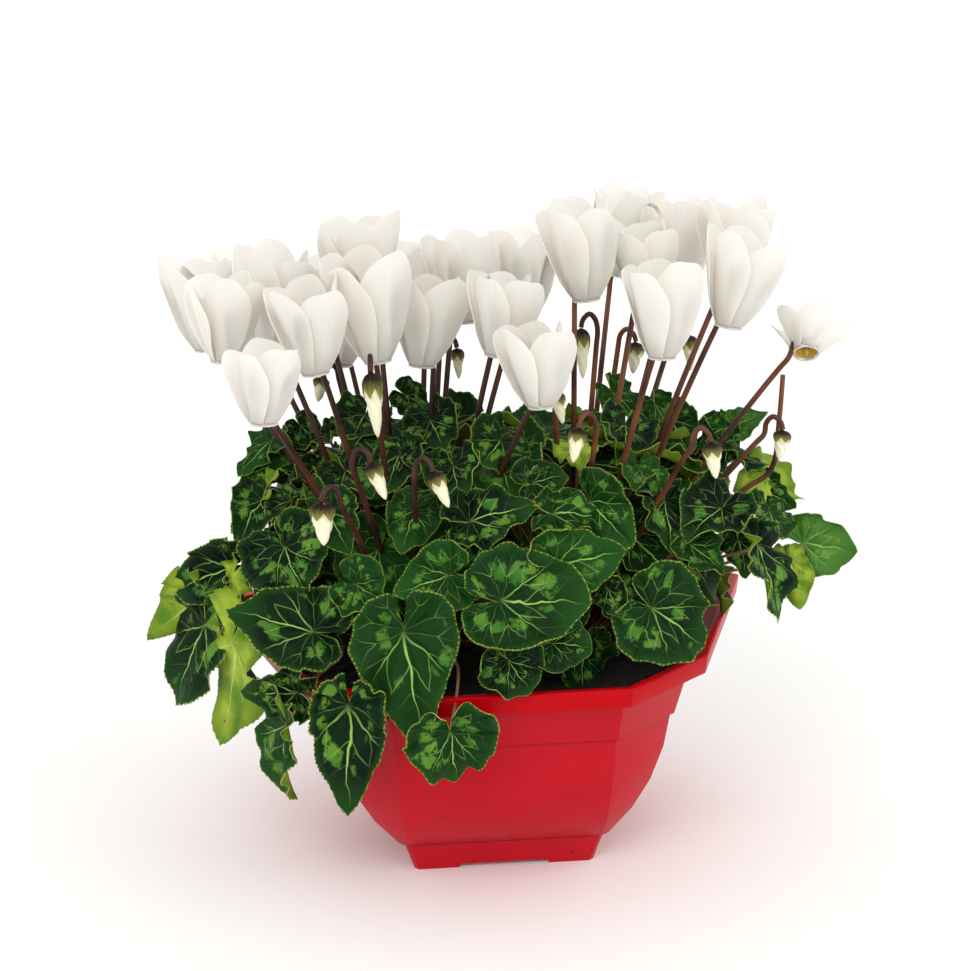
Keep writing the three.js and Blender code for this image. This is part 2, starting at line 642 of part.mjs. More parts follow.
// The hidden leaves: hub and tip on the back of the mound, tips pointing down and out.
function backLeafFrame(n) {
  const share = (n + 0.5) / BACK_LEAVES;
  const around = ((n * GOLDEN_ANGLE) % Math.PI) * 1.06 - 0.03 * Math.PI;
  const polar = THREE.MathUtils.degToRad(18 + 82 * share);
  const place = (tilt, grow) =>
    V(Math.cos(around) * Math.sin(tilt), Math.sin(around) * Math.sin(tilt), Math.cos(tilt))
      .multiplyScalar(grow)
      .multiply(MOUND.radii)
      .add(MOUND.centre);
  const lift = 0.94 + 0.08 * draw(n, 11);
  const hub = place(polar, lift);
  const tip = place(polar + 0.32 + 0.08 * draw(n, 12), lift + 0.06);
  return leafAxes(hub, tip, 50 * (draw(n, 13) - 0.5));
}

function blade(frame, i, wide) {
  const at = (angle, radius) =>
    frame.hub
      .clone()
      .addScaledVector(frame.forward, Math.cos(angle) * radius * frame.length)
      .addScaledVector(frame.side, Math.sin(angle) * radius * frame.length)
      .addScaledVector(frame.face, bladeRise(i, angle, radius) * frame.length);
  const points = [at(0, MIDDLE), frame.hub.clone()];
  for (let k = 0; k < BLADE_POINTS; k++) {
    const angle = -NOTCH_ANGLE + (2 * NOTCH_ANGLE * k) / (BLADE_POINTS - 1);
    const tooth = k % 2 ? 0.95 : 1.05;
    points.push(at(angle, bladeRadius(angle, wide) * tooth));
  }
  const triangles = Array.from({ length: BLADE_POINTS }, (_, k) => [0, k + 1, k + 2]);
  triangles.push([0, BLADE_POINTS + 1, 1]);
  return thinBody(points, triangles, frame.face.clone().multiplyScalar(-LEAF_THICKNESS));
}

// A leaf's stem: out of the core, over the rim of the bowl where the leaf hangs, and into the hub.
function petiole(frame) {
  const { hub } = frame;
  const over = V(hub.x, hub.y, Math.max(hub.z, BOWL_HEIGHT + 16)).sub(CORE.centre);
  const root = over.clone().multiplyScalar(0.94 / over.clone().divide(CORE.radii).length()).add(CORE.centre);
  const end = hub
    .clone()
    .addScaledVector(frame.forward, 1.2)
    .addScaledVector(frame.side, 0.9)
    .addScaledVector(frame.face, -LEAF_THICKNESS / 2);
  if (hub.z > BOWL_HEIGHT + 16) return tube([root, end], PETIOLE_RADIUS, 3);
  const bend = root.clone().lerp(hub, 0.7);
  bend.z = BOWL_HEIGHT + 12;
  return tube([root, bend, end], PETIOLE_RADIUS, 3);
}

function core() {
  const body = new THREE.SphereGeometry(1, 14, 9);
  body.rotateX(Math.PI / 2);
  const places = body.attributes.position;
  for (let i = 0; i < places.count; i++) {
    const p = V(0, 0, 0).fromBufferAttribute(places, i);
    const lump = 1 + 0.05 * Math.sin(5 * p.x + 2) * Math.cos(6 * p.y) * (1 - p.z * p.z);
    p.multiplyScalar(lump).multiply(CORE.radii).add(CORE.centre);
    p.z = Math.max(p.z, SOIL_LEVEL + 2.4);
    places.setXYZ(i, p.x, p.y, p.z);
  }
  return solidOf(body);
}

function foliage(rooms) {
  const bodies = [core()];
  LEAVES.forEach((leaf, i) => {
    const frame = leafFrame(leaf);
    bodies.push(blade(frame, i, leaf.wide), petiole(frame));
  });
  for (let n = 0; n < BACK_LEAVES; n++) {
    const frame = backLeafFrame(n);
    bodies.push(blade(frame, LEAVES.length + n, 1.15), petiole(frame));
  }
  return rooms.reduce((rest, room) => rest.subtract(room), wasm.Manifold.union(bodies));
}

function material(color, roughness) {
  return new THREE.MeshStandardMaterial({ color, roughness, metalness: 0 });
}
const RED_PLASTIC = material(0xc4122a, 0.3);
const PEAT = material(0x1d1712, 1);
const STALK_BROWN = material(0x5a3226, 0.55);
const LEAF_GREEN = material(0x1f4a26, 0.5);
const PETAL_WHITE = material(0xf3f0e6, 0.6);
const BUD_CREAM = material(0xe2dcae, 0.55);

const plant = new THREE.Group();

function place(name, solid, finish) {
  const mesh = new THREE.Mesh(geometryFrom(solid), finish);
  mesh.name = name;
  plant.add(mesh);
}

const numbered = (word, i) => word + "_" + String(i + 1).padStart(2, "0");

const stalkRooms = [];
const cormRooms = [];
const brown = {};
for (const crown of Object.keys(CROWNS)) {
  const lines = stalkLines(crown);
  brown[crown] = unite([corm(CROWNS[crown], 0), ...lines.map((line) => tube(line, STALK_RADIUS, STALK_SIDES))]);
  cormRooms.push(corm(CROWNS[crown], CLEARANCE * 1.5));
  for (const line of lines) stalkRooms.push(tube(line, STALK_RADIUS + CLEARANCE * 1.6, STALK_SIDES));
}

const allStalkRooms = unite(stalkRooms);

place("pot", bowl(), RED_PLASTIC);
place("soil", soil([...cormRooms, allStalkRooms]), PEAT);
place("left_corm_and_stalks", brown.left, STALK_BROWN);
place("right_corm_and_stalks", brown.right, STALK_BROWN);

const bloomSolids = BLOOMS.map((bloom) => {
  const petals = Array.from({ length: PETALS }, (_, number) => petal(bloom, number));
  return unite([mouthCup(bloom), ...petals]).subtract(allStalkRooms);
});
bloomSolids.forEach((solid, i) => place(numbered("bloom", i), solid, PETAL_WHITE));

const budSolids = BUDS.map((bud) => budHead(bud, 0));
budSolids.forEach((solid, i) => place(numbered("bud", i), solid, BUD_CREAM));
const budRooms = BUDS.map((bud) => budHead(bud, CLEARANCE * 2));

const wallRoom = bowlRoom().subtract(bowlMouth());
place("foliage", foliage([wallRoom, ...cormRooms, allStalkRooms, ...budRooms]), LEAF_GREEN);

export default plant;
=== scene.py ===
import math
from collections import namedtuple
from functools import partial

import bpy
import numpy as np
from mathutils import Matrix, Quaternion, Vector


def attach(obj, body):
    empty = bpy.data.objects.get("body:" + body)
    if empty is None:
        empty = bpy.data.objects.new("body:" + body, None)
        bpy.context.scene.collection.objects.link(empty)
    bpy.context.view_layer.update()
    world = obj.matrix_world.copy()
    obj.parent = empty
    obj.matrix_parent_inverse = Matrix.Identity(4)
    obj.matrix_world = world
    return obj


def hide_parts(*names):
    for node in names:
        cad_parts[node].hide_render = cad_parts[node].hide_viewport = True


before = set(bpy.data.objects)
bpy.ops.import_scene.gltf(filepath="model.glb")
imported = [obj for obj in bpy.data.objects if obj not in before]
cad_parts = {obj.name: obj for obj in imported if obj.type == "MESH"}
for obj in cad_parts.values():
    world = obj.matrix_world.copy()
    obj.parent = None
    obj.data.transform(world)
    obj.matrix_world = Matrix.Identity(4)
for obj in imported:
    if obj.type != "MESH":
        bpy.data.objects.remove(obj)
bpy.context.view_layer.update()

MM = 0.001
TAU = 2 * math.pi
SCENE = bpy.context.scene

# ---- the bowl, the mound of leaves and the view, as in the solids, in millimetres

BOWL_HEIGHT = 150
SOIL_LEVEL = 137
CROWNS = {"left": Vector((-50, 6, 131)), "right": Vector((52, 10, 131))}
CORM_RADIUS = 25
CORM_HEIGHT = 24
STALK_RADIUS = 2.0
MOUTH_RADIUS = 9
MOUTH_HEIGHT = 6
MOUND_CENTRE = Vector((4, 8, 152))
MOUND_RADII = Vector((208, 148, 142))
CORE_CENTRE = Vector((2, 6, 150))

AZIMUTH, ELEVATION, ROLL = math.radians(-3.7), math.radians(17.1), math.radians(-1.6)
DISTANCE = 2040
FOCAL_PIXELS = 3066
PICTURE_SIDE = 971
TARGET = Vector((-2, 0, 248))
PICTURE_CENTRE = (485, 485.5)
SENSOR = 36

# hub and tip pixels, width against length, lift off the mound, turn about the midrib in degrees, and on
# some the leaf's tone, which over 1 is painted light
Leaf = namedtuple("Leaf", "hub tip wide lift turn tone", defaults=[None])
LEAVES = [
    ((283, 547), (310, 600), 1.45, 0.03, 0), ((356, 585), (387, 600), 1.75, 0.03, 10, 0.85),
    ((448, 576), (396, 592), 1.35, 0.05, -10, 0.9), ((314, 632), (230, 612), 1.0, 0.02, 15),
    ((405, 632), (420, 746), 0.9, 0.07, 0), ((350, 703), (352, 803), 0.6, 0.1, 0),
    ((450, 732), (456, 780), 1.5, 0.08, -8), ((298, 693), (244, 689), 0.9, 0.06, -20),
    ((287, 722), (290, 797), 0.7, 0.1, 55), ((232, 640), (212, 746), 0.75, 0.02, 30),
    ((198, 596), (153, 634), 0.9, 0.02, -35), ((232, 575), (206, 626), 0.7, 0.04, 30),
    ((234, 566), (172, 592), 0.7, 0.0, -20), ((205, 620), (186, 700), 0.8, 0.0, 15),
    ((272, 440), (243, 480), 1.0, -0.02, 10), ((262, 500), (236, 545), 1.1, 0.0, -10),
    ((262, 492), (228, 520), 1.1, 0.0, 25), ((275, 465), (240, 480), 1.1, -0.02, -15),
    ((499, 602), (590, 606), 1.1, 0.05, -12, 0.7), ((556, 566), (628, 551), 0.95, 0.04, 8),
    ((508, 660), (533, 692), 1.6, 0.0, 6), ((651, 608), (706, 648), 1.3, -0.02, 4),
    ((470, 522), (536, 506), 0.95, 0.03, -12), ((453, 466), (461, 500), 1.3, 0.03, 12),
    ((532, 484), (566, 476), 1.4, 0.0, 0), ((552, 514), (608, 518), 0.9, 0.02, -18),
    ((590, 500), (632, 546), 1.0, 0.02, 20), ((664, 500), (668, 556), 0.95, -0.02, -25),
    ((722, 508), (686, 545), 1.2, 0.05, 28), ((803, 544), (857, 552), 1.1, 0.05, 12, 1.4),
    ((757, 545), (776, 624), 0.75, 0.1, -35), ((788, 560), (800, 608), 0.7, 0.02, 45),
    ((764, 474), (806, 500), 1.4, 0.02, 0), ((735, 425), (768, 412), 0.95, 0.04, 15, 1.25),
    ((712, 430), (742, 462), 0.9, 0.0, -15), ((672, 420), (690, 456), 1.0, 0.04, 30),
    ((625, 425), (622, 462), 1.2, 0.03, -20), ((612, 392), (640, 424), 1.1, 0.0, 0),
    ((580, 450), (548, 436), 1.2, 0.02, 25), ((430, 420), (446, 452), 1.3, 0.02, 10),
    ((400, 455), (392, 500), 1.1, 0.0, 18), ((330, 435), (300, 452), 1.2, 0.0, 10),
    ((330, 512), (352, 556), 1.1, 0.0, 8),
]
# smaller leaves seen between the others
BETWEEN_LEAVES = [
    ((552, 643), (592, 648), 1.3, -0.03, -10), ((608, 590), (622, 616), 1.2, 0.0, 15),
    ((405, 395), (432, 412), 1.2, -0.04, 12), ((365, 415), (350, 448), 1.2, -0.02, -12),
    ((415, 510), (402, 552), 1.1, -0.02, -8), ((690, 545), (722, 576), 1.1, -0.02, -15),
    ((500, 440), (480, 468), 1.3, 0.02, -15), ((345, 470), (372, 496), 1.2, 0.0, -18),
    ((769, 511), (774, 545), 1.25, 0.05, -12), ((292, 500), (270, 530), 1.1, -0.05, 20),
    ((305, 455), (272, 470), 1.1, -0.03, -20), ((240, 604), (216, 640), 1.0, -0.05, -15),
    ((300, 425), (318, 446), 1.2, -0.02, 10), ((738, 540), (746, 580), 1.0, -0.05, 10),
    ((724, 428), (700, 452), 1.1, 0.0, 15), ((655, 405), (668, 432), 1.2, 0.0, 10),
    ((760, 488), (792, 512), 1.1, -0.03, 18), ((738, 456), (768, 470), 1.2, -0.03, -18),
    ((700, 455), (722, 482), 1.2, -0.03, 14), ((640, 470), (650, 500), 1.2, -0.03, -14),
]
# the hubs of leaves that lie turned over, their undersides to the viewer
TURNED_OVER = [(232, 640), (198, 596), (232, 575), (788, 560), (764, 474), (262, 492), (580, 450)]
BACK_LEAVES = 30
UNDER_LEAVES = 46
GOLDEN_ANGLE = 2.39996

# mouth pixel, depth, petal length, lean to the right in degrees, turn of its petals in degrees, plant,
# lean away, how much further the petals spread, and the side it opens to in degrees
Bloom = namedtuple("Bloom", "mouth depth petal lean turn plant away spread opens", defaults=[0.06, 0, None])
FACING = 180
BLOOMS = [
    ((208, 350), 45, 60, -3, 54, "left"),
    ((224, 362), -50, 54, 4, 90, "left"),
    ((264, 424), -118, 47, 2, 126, "left"),
    ((272, 354), 0, 68, 4, 54, "left"),
    ((250, 340), 92, 58, 2, 90, "left"),
    ((316, 374), -70, 58, -6, 54, "left", 0.06, 1, 270),
    ((322, 346), 68, 60, -2, 126, "left"),
    ((340, 366), 116, 54, 0, 54, "left"),
    ((378, 362), -37, 70, -6, 54, "left", 0.06, 1, 270),
    ((366, 318), 23, 67, -4, 90, "left", 0.06, 1, 270),
    ((414, 336), 88, 62, 4, 90, "left"),
    ((422, 366), 2, 60, 6, 126, "left"),
    ((464, 322), 48, 60, 0, 54, "left"),
    ((498, 356), -40, 54, 8, 54, "left"),
    ((528, 312), 74, 54, -2, 126, "left"),
    ((542, 407), -88, 52, -4, 118, "left"),
    ((587, 300), -22, 62, -6, 54, "right"),
    ((624, 276), 98, 60, 4, 90, "right"),
    ((662, 358), -80, 62, 2, 54, "right"),
    ((648, 302), 4, 52, -4, 126, "right"),
    ((682, 288), 54, 60, 0, 90, "right"),
    ((728, 327), -54, 62, 12, 126, "right", 0.06, 3, 335),
    ((734, 290), 8, 58, 6, 90, "right"),
    ((806, 354), 10, 28, 10, FACING, "right", 1.1, 10),
]
# top and tip pixels, depth, girth, plant, side that the stalk comes from
Bud = namedtuple("Bud", "top tip depth girth plant side")
BUDS = [
    ((581, 328), (583, 379), 20, 5.2, "right", 1),
    ((636, 342), (633, 374), 70, 5.6, "right", -1),
    ((689, 335), (691, 371), 78, 5, "right", -1),
    ((371, 372), (378, 438), -84, 6, "left", 0),
    ((322, 377), (318, 402), 84, 5.2, "left", 1),
    ((457, 348), (459, 379), 80, 4.2, "left", -1),
    ((371, 463), (386, 500), -112, 5.4, "left", -1),
    ((433, 472), (449, 508), -118, 5.2, "left", -1),
    ((322, 502), (324, 546), -136, 7.4, "left", 1),
    ((579, 428), (573, 463), -96, 5.4, "right", 1),
    ((711, 442), (716, 479), -104, 5.8, "right", -1),
    ((783, 430), (779, 460), -30, 5.4, "right", -1),
    ((556, 392), (563, 424), -60, 4.6, "right", 0),
]
LEAVES = [Leaf(*row) for row in LEAVES]
BETWEEN_LEAVES = [Leaf(*row) for row in BETWEEN_LEAVES]
BLOOMS = [Bloom(*row) for row in BLOOMS]
BUDS = [Bud(*row) for row in BUDS]
# the stalk that has lost its flower: its end pixel, and the pixel where it comes out of the leaves
BARE_END, BARE_LOW, BARE_DEPTH, BARE_PLANT = (783, 375), (772, 468), 0, "right"


def view_axes():
    level = math.cos(ELEVATION)
    back = Vector((math.sin(AZIMUTH) * level, -math.cos(AZIMUTH) * level, math.sin(ELEVATION)))
    forward = -back
    right = forward.cross(Vector((0, 0, 1))).normalized()
    right = Quaternion(forward, -ROLL) @ right
    return TARGET + back * DISTANCE, forward, right, right.cross(forward)


EYE, FORWARD, RIGHT, UPWARD = view_axes()


def ray(pixel):
    across = (pixel[0] - PICTURE_CENTRE[0]) / FOCAL_PIXELS
    along = (PICTURE_CENTRE[1] - pixel[1]) / FOCAL_PIXELS
    return (FORWARD + RIGHT * across + UPWARD * along).normalized()


def at_depth(pixel, y):
    way = ray(pixel)
    return EYE + way * ((y - EYE.y) / way.y)


def divided(a, b):
    return Vector((a.x / b.x, a.y / b.y, a.z / b.z))


def on_mound(pixel, lift):
    """Where the view through a pixel meets the mound, made larger by lift."""
    radii = MOUND_RADII * (1 + lift)
    start = divided(EYE - MOUND_CENTRE, radii)
    way = divided(ray(pixel), radii)
    a, b, c = way.dot(way), start.dot(way), start.dot(start) - 1
    reach = (-b - math.sqrt(max(0, b * b - a * c))) / a
    return (start + way * reach) * radii + MOUND_CENTRE


def draw(i, k):
    """A repeatable draw from 0 to 1 for piece i and trait k."""
    s = math.sin(i * 12.9898 + k * 78.233) * 43758.5453
    return s - math.floor(s)


# ---- materials
# A noise of scale S on metres has cells of 1000 / S mm. On leaves, petals and buds the places run with the
# piece, and each comment gives the cell's real size.

INPUT_SOCKETS = {"Mix": (0, 6, 7)}
OUTPUT_SOCKETS = {"Mix": 2, "TexCoord": 3, "Attribute": 1}


def linear(code):
    """An sRGB hex colour as linear RGBA."""
    parts = [int(code[i : i + 2], 16) / 255 for i in (0, 2, 4)]
    return [x / 12.92 if x <= 0.04045 else ((x + 0.055) / 1.055) ** 2.4 for x in parts] + [1]


def add_node(tree, kind, *inputs, out=None, **named):
    """Adds a node and returns an output. Names with a capital are sockets, and the others are settings.
    A kind all in capitals is what a Math node does."""
    if kind.isupper():
        kind, named["operation"] = "Math", kind
    made = tree.nodes.new("ShaderNode" + kind)
    if kind == "Mix":
        made.data_type = "RGBA"
    sockets = dict(zip(INPUT_SOCKETS.get(kind, range(len(inputs))), inputs))
    for name, value in named.items():
        if name[0].isupper():
            sockets[name.replace("_", " ")] = value
        else:
            setattr(made, name, value)
    for socket, value in sockets.items():
        if isinstance(value, bpy.types.NodeSocket):
            tree.links.new(value, made.inputs[socket])
        else:
            made.inputs[socket].default_value = linear(value) if isinstance(value, str) else value
    return made.outputs[OUTPUT_SOCKETS.get(kind, 0) if out is None else out]


def new_material(name):
    """The function that adds a node to a new material, and the one that ends it in a shader."""
    made = bpy.data.materials.new(name)
    made.use_nodes = True
    tree = made.node_tree
    tree.nodes.clear()
    node = partial(add_node, tree)

    def close(**sockets):
        end = tree.nodes.new("ShaderNodeOutputMaterial")
        tree.links.new(node("BsdfPrincipled", **sockets), end.inputs[0])
        return made

    return node, close


def red_bowl_plastic():
    """Injection-moulded polypropylene: deep clean red on the collar, duller and a little dirty below, with
    painted shade lines.
    """
    node, close = new_material("moulded_red_polypropylene")
    place = node("TexCoord")
    # Mottling in clouds 45 mm across, and the mould's grain, drawn 1.1 mm across so that it shows.
    mottle = node("TexNoise", place, Scale=22, Detail=3)
    grain = node("TexNoise", place, Scale=900, Detail=2)
    clean = node("Mix", mottle, "AA0008", "BC000E")
    dull = node("Mix", mottle, "AC0E1D", "BE1424")
    # The wall under the collar is dulled by dust and scuffs.
    height = node("SeparateXYZ", place, out=2)
    colour = node("Mix", node("MapRange", height, 0.139, 0.134), clean, dull)
    # A little soil splashed on the foot and the lower corners, in spots of up to 6 mm.
    low = node("MapRange", height, 0.07, 0)
    spots = node("TexNoise", place, Scale=160, Detail=5, Roughness=0.7)
    spots = node("MapRange", spots, 0.62, 0.7)
    dirt = node("MULTIPLY", low, spots)
    colour = node("Mix", dirt, colour, "2A100C")
    # Painted shade in the corners under the wall's step and over its foot: dark red lines, each about 3 mm
    # wide.
    for level, weight in ((0.1062, 0.25), (0.0215, 0.75)):
        off = node("ABSOLUTE", node("SUBTRACT", height, level))
        painted_shade_line = node("MapRange", off, 0.0018, 0.0004, 0, weight)
        colour = node("Mix", painted_shade_line, colour, "5A0C10")
    gloss = node("MapRange", mottle, 0.3, 0.7, 0.28, 0.4)
    normal = node("Bump", Height=grain, Strength=0.05, Distance=0.2 * MM)
    return close(Base_Color=colour, Roughness=gloss, Normal=normal, IOR=1.49, Specular_IOR_Level=0.1)


def damp_peat():
    """Damp peat compost: nearly black, crumbly, with a few paler fibres."""
    node, close = new_material("damp_peat_compost")
    place = node("TexCoord")
    # Crumbs of 4.5 mm and finer, and fibres about 10 mm long.
    crumbs = node("TexNoise", place, Scale=220, Detail=6, Roughness=0.65)
    fibre = node("TexNoise", place, Scale=95, Detail=2, Distortion=2.5)
    colour = node("Mix", crumbs, "040404", "1C1713")
    colour = node("Mix", node("MapRange", fibre, 0.66, 0.7, 0, 0.7), colour, "4A3C30")
    normal = node("Bump", Height=crumbs, Strength=0.9, Distance=1.5 * MM)
    return close(Base_Color=colour, Roughness=0.95, Normal=normal)


VEIN_STEP = math.radians(38)
BladePattern = namedtuple("BladePattern", "spot along edge beside veins puffed tone")


def blade_pattern(node):
    """On a blade, in shares of its length of about 80 mm: its flat place with its own seed, and its veins."""
    place = node("Attribute", attribute_name="blade_place")
    tone = node("Attribute", attribute_name="tone", out=2)
    seed = node("MULTIPLY", tone, 40)
    along, across, edge = (node("SeparateXYZ", place, out=k) for k in range(3))
    spot = node("CombineXYZ", along, across, seed)
    # Veins stray a few millimetres from straight lines, in bends about 25 mm long.
    wander = node("TexNoise", spot, Scale=3.2, Detail=2, out=1)
    wander = node("VectorMath", wander, (0.5, 0.5, 0.5), operation="SUBTRACT")
    wander = node("VectorMath", wander, (0.15, 0.15, 0), operation="MULTIPLY")
    flat = node("VectorMath", node("CombineXYZ", along, across), wander, operation="ADD")
    radius = node("VectorMath", flat, operation="LENGTH", out=1)
    x, y = (node("SeparateXYZ", flat, out=k) for k in range(2))
    angle = node("ABSOLUTE", node("ARCTAN2", y, x))
    beside = node("PINGPONG", angle, VEIN_STEP / 2)
    main = node("MULTIPLY", beside, radius)
    # Half a main vein is about 1 mm wide at the hub and 0.3 mm near the edge.
    thick = node("MapRange", radius, 0, 0.8, 0.013, 0.004)
    # The midrib is the strongest, and those at the back the weakest.
    rank = node("MapRange", angle, 0.2, 1.35, 1.3, 0.35)
    thick = node("MULTIPLY", thick, rank)
    veins = node("MapRange", node("DIVIDE", main, thick), 1, 0.45)
    veins = node("MULTIPLY", veins, rank)
    # Each main vein forks twice on its way out.
    for start, slope, width, weight in ((0.27, 0.7, 0.008, 0.55), (0.5, 1, 0.006, 0.3)):
        run = node("SUBTRACT", radius, start)
        line = node("MULTIPLY", run, slope)
        gap = node("ABSOLUTE", node("SUBTRACT", main, line))
        fork = node("MapRange", gap, width, width / 3, 0, weight)
        begun = node("GREATER_THAN", run, 0)
        fork = node("MULTIPLY", fork, begun)
        veins = node("MAXIMUM", veins, fork)
    fade = node("MapRange", edge, 0.93, 0.55)
    begin = node("MapRange", radius, 0.02, 0.16, 0.25, 1)
    for share in (fade, begin):
        veins = node("MULTIPLY", veins, share)
    puffed = node("MapRange", main, 0, 0.07)
    return BladePattern(spot, along, edge, beside, veins, puffed, tone)


def leaf_face():
    """Cyclamen leaf, upper face: waxy, nearly black-green, marbled with pale patches between its veins."""
    node, close = new_material("cyclamen_leaf_upper")
    leaf = blade_pattern(node)
    # Clouds about 33 mm across.
    cloud = node("MapRange", node("TexNoise", leaf.spot, Scale=2.4, Detail=2), 0.35, 0.65)
    green = node("Mix", cloud, "06140A", "0B250F")
    lively = node("MapRange", leaf.tone, 0.5, 1, 0, 0.7)
    green = node("Mix", lively, green, "1C4A14")
    # Painted light: a few leaves, their tone over 1, are yellower still, as if in full light.
    green = node("Mix", node("MapRange", leaf.tone, 1, 1.5), green, "4C7A30")
    # The tip and the outer edge are lighter than the rest.
    tip = node("MapRange", leaf.along, 0.55, 1, 0, 0.6)
    outside = node("MapRange", leaf.edge, 0.84, 1, 0, 0.5)
    green = node("Mix", node("MAXIMUM", tip, outside), green, "26561A")
    # Marbling halfway out, in the fields between the main veins: patches with ragged edges, brushed 15 mm
    # across and finer, in a ring that strays in and out over 47 mm.
    brush = node("TexNoise", leaf.spot, Scale=5.5, Detail=4, Roughness=0.7)
    brush = node("MapRange", brush, 0.36, 0.64, 0.15, 0.95)
    patch = node("TexNoise", leaf.spot, Scale=1.7, Detail=1)
    stray = node("MapRange", patch, 0.3, 0.7, -0.2, 0.2)
    ring = node("ADD", leaf.edge, stray)
    marble = node("MapRange", ring, 0.32, 0.5)
    outer = node("MapRange", ring, 0.86, 0.66)
    field = node("MapRange", leaf.beside, 0.03, 0.12, 0.25, 1)
    # Whole fields of it, about 31 mm across, are missing here and there.
    missing = node("TexNoise", leaf.spot, Scale=2.6, Detail=1)
    missing = node("MapRange", missing, 0.42, 0.58, 0.25, 1.25)
    for share in (outer, field, brush, missing):
        marble = node("MULTIPLY", marble, share)
    marble = node("MapRange", marble, 0.32, 0.62, 0, 0.78)
    green = node("Mix", marble, green, node("Mix", cloud, "356C24", "628F33"))
    green = node("Mix", node("MULTIPLY", leaf.veins, 0.66), green, "9CC460")
    green = node("Mix", node("MapRange", leaf.edge, 0.985, 1, 0, 0.5), green, "A3B048")
    # The skin's grain is 5 mm across, and the fields between the veins puff up.
    grain = node("TexNoise", leaf.spot, Scale=16, Detail=2)
    grain = node("ADD", grain, leaf.puffed)
    normal = node("Bump", Height=grain, Strength=0.7, Distance=1.3 * MM)
    return close(Base_Color=green, Roughness=0.45, Normal=normal, IOR=1.45, Specular_IOR_Level=0.08)


def leaf_back():
    """Cyclamen leaf, underside: matt lime green with raised paler veins."""
    node, close = new_material("cyclamen_leaf_underside")
    leaf = blade_pattern(node)
    # Clouds about 27 mm across.
    cloud = node("MapRange", node("TexNoise", leaf.spot, Scale=3, Detail=3), 0.35, 0.65)
    lime = node("Mix", cloud, "567C1A", "9DB038")
    # Dull green towards the edge, with brown specks of 3.6 mm and finer.
    lime = node("Mix", node("MapRange", leaf.edge, 0.7, 1, 0, 0.6), lime, "3F6418")
    specks = node("TexNoise", leaf.spot, Scale=22, Detail=3)
    lime = node("Mix", node("MapRange", specks, 0.68, 0.72, 0, 0.7), lime, "33280F")
    lime = node("Mix", node("MULTIPLY", leaf.veins, 0.6), lime, "C3CE7A")
    normal = node("Bump", Height=leaf.veins, Strength=0.4, Distance=0.6 * MM)
    return close(Base_Color=lime, Roughness=0.6, Normal=normal, IOR=1.45, Specular_IOR_Level=0.1)


def leaf_edge():
    """The leaf's bead-like edge: yellow-green, here and there browned, over stretches of about 17 mm."""
    node, close = new_material("cyclamen_leaf_edge")
    worn = node("MapRange", node("TexNoise", node("TexCoord"), Scale=60, Detail=2), 0.55, 0.7)
    return close(Base_Color=node("Mix", worn, "869A3A", "B8A868"), Roughness=0.6)


def red_brown_stem(name, dark, light):
    """Fleshy stem: red-brown skin, slightly shiny, with fine lengthwise lines and paler stretches."""
    node, close = new_material(name)
    place = node("TexCoord")
    # Paler stretches are 36 mm long. The lines are 0.7 mm apart and 17 mm long.
    patches = node("MapRange", node("TexNoise", place, Scale=28, Detail=3), 0.35, 0.65)
    lines = node("Mapping", place, Scale=(1400, 1400, 60))
    lines = node("TexNoise", lines, Scale=1, Detail=2)
    normal = node("Bump", Height=lines, Strength=0.3, Distance=0.15 * MM)
    colour = node("Mix", patches, dark, light)
    return close(Base_Color=colour, Roughness=0.42, Specular_IOR_Level=0.25, Normal=normal)


def white_petal():
    """Cyclamen petal: thin, soft, matt white that light passes through, with fine lengthwise veins."""
    node, close = new_material("white_cyclamen_petal")
    place = node("Attribute", attribute_name="petal_place")
    # Veins 0.8 mm apart, on a petal 36 mm wide, and about 37 mm long.
    streak = node("Mapping", place, Scale=(22, 1.6, 7))
    streak = node("TexNoise", streak, Scale=1, Detail=2)
    height = node("SeparateXYZ", place, out=1)
    colour = node("Mix", streak, "E6DFD3", "EFE9DE")
    # Painted shade: each petal turns a warm grey towards its base at the mouth.
    return close(
        Base_Color=node("Mix", node("MapRange", height, 0.3, 0), colour, "D8CEC0"),
        Roughness=0.85,
        Normal=node("Bump", Height=streak, Strength=0.12, Distance=0.5 * MM),
        Subsurface_Weight=0.6,
        Subsurface_Radius=(1, 0.9, 0.8),
        Subsurface_Scale=12 * MM,
        Specular_IOR_Level=0.1,
    )


def furled_bud():
    """Furled bud petals: cream with a mottle of 2 to 3 mm, greener towards the top."""
    node, close = new_material("furled_cream_bud")
    place = node("Attribute", attribute_name="petal_place")
    colour = node("Mix", node("TexNoise", place, Scale=9, Detail=3), "E4DDB4", "F4F0D6")
    high = node("MapRange", node("SeparateXYZ", place, out=1), 0.45, 0.1)
    colour = node("Mix", high, colour, "B9B868")
    return close(
        Base_Color=colour, Roughness=0.5, Subsurface_Weight=0.15, Subsurface_Radius=(3 * MM, 3 * MM, 1 * MM)
    )


def dark_sepal():
    """Sepals: dark brown-green, with streaks about 0.4 mm wide and 5 mm long."""
    node, close = new_material("dark_sepal")
    place = node("Attribute", attribute_name="petal_place")
    streak = node("TexNoise", node("Mapping", place, Scale=(7, 1.2, 0)), Scale=1, Detail=2)
    down = node("MULTIPLY", node("SeparateXYZ", place, out=1), streak)
    colour = node("Mix", node("MapRange", down, 0.12, 0.5), "1C120B", "8E8A44")
    return close(Base_Color=colour, Roughness=0.5, Specular_IOR_Level=0.15)


def stamen_gold():
    """Anthers in the mouth: golden yellow with a powder of pollen, drawn 0.7 mm coarse so that it shows."""
    node, close = new_material("golden_anthers")
    dust = node("TexNoise", node("TexCoord"), Scale=1500, Detail=2)
    return close(Base_Color=node("Mix", dust, "8F6A1E", "D9B24A"), Roughness=0.8)


def pale_floor():
    """Matt studio paper: near white, without a pattern."""
    _, close = new_material("pale_floor")
    return close(Base_Color=linear("F4F4F2"), Roughness=0.9)


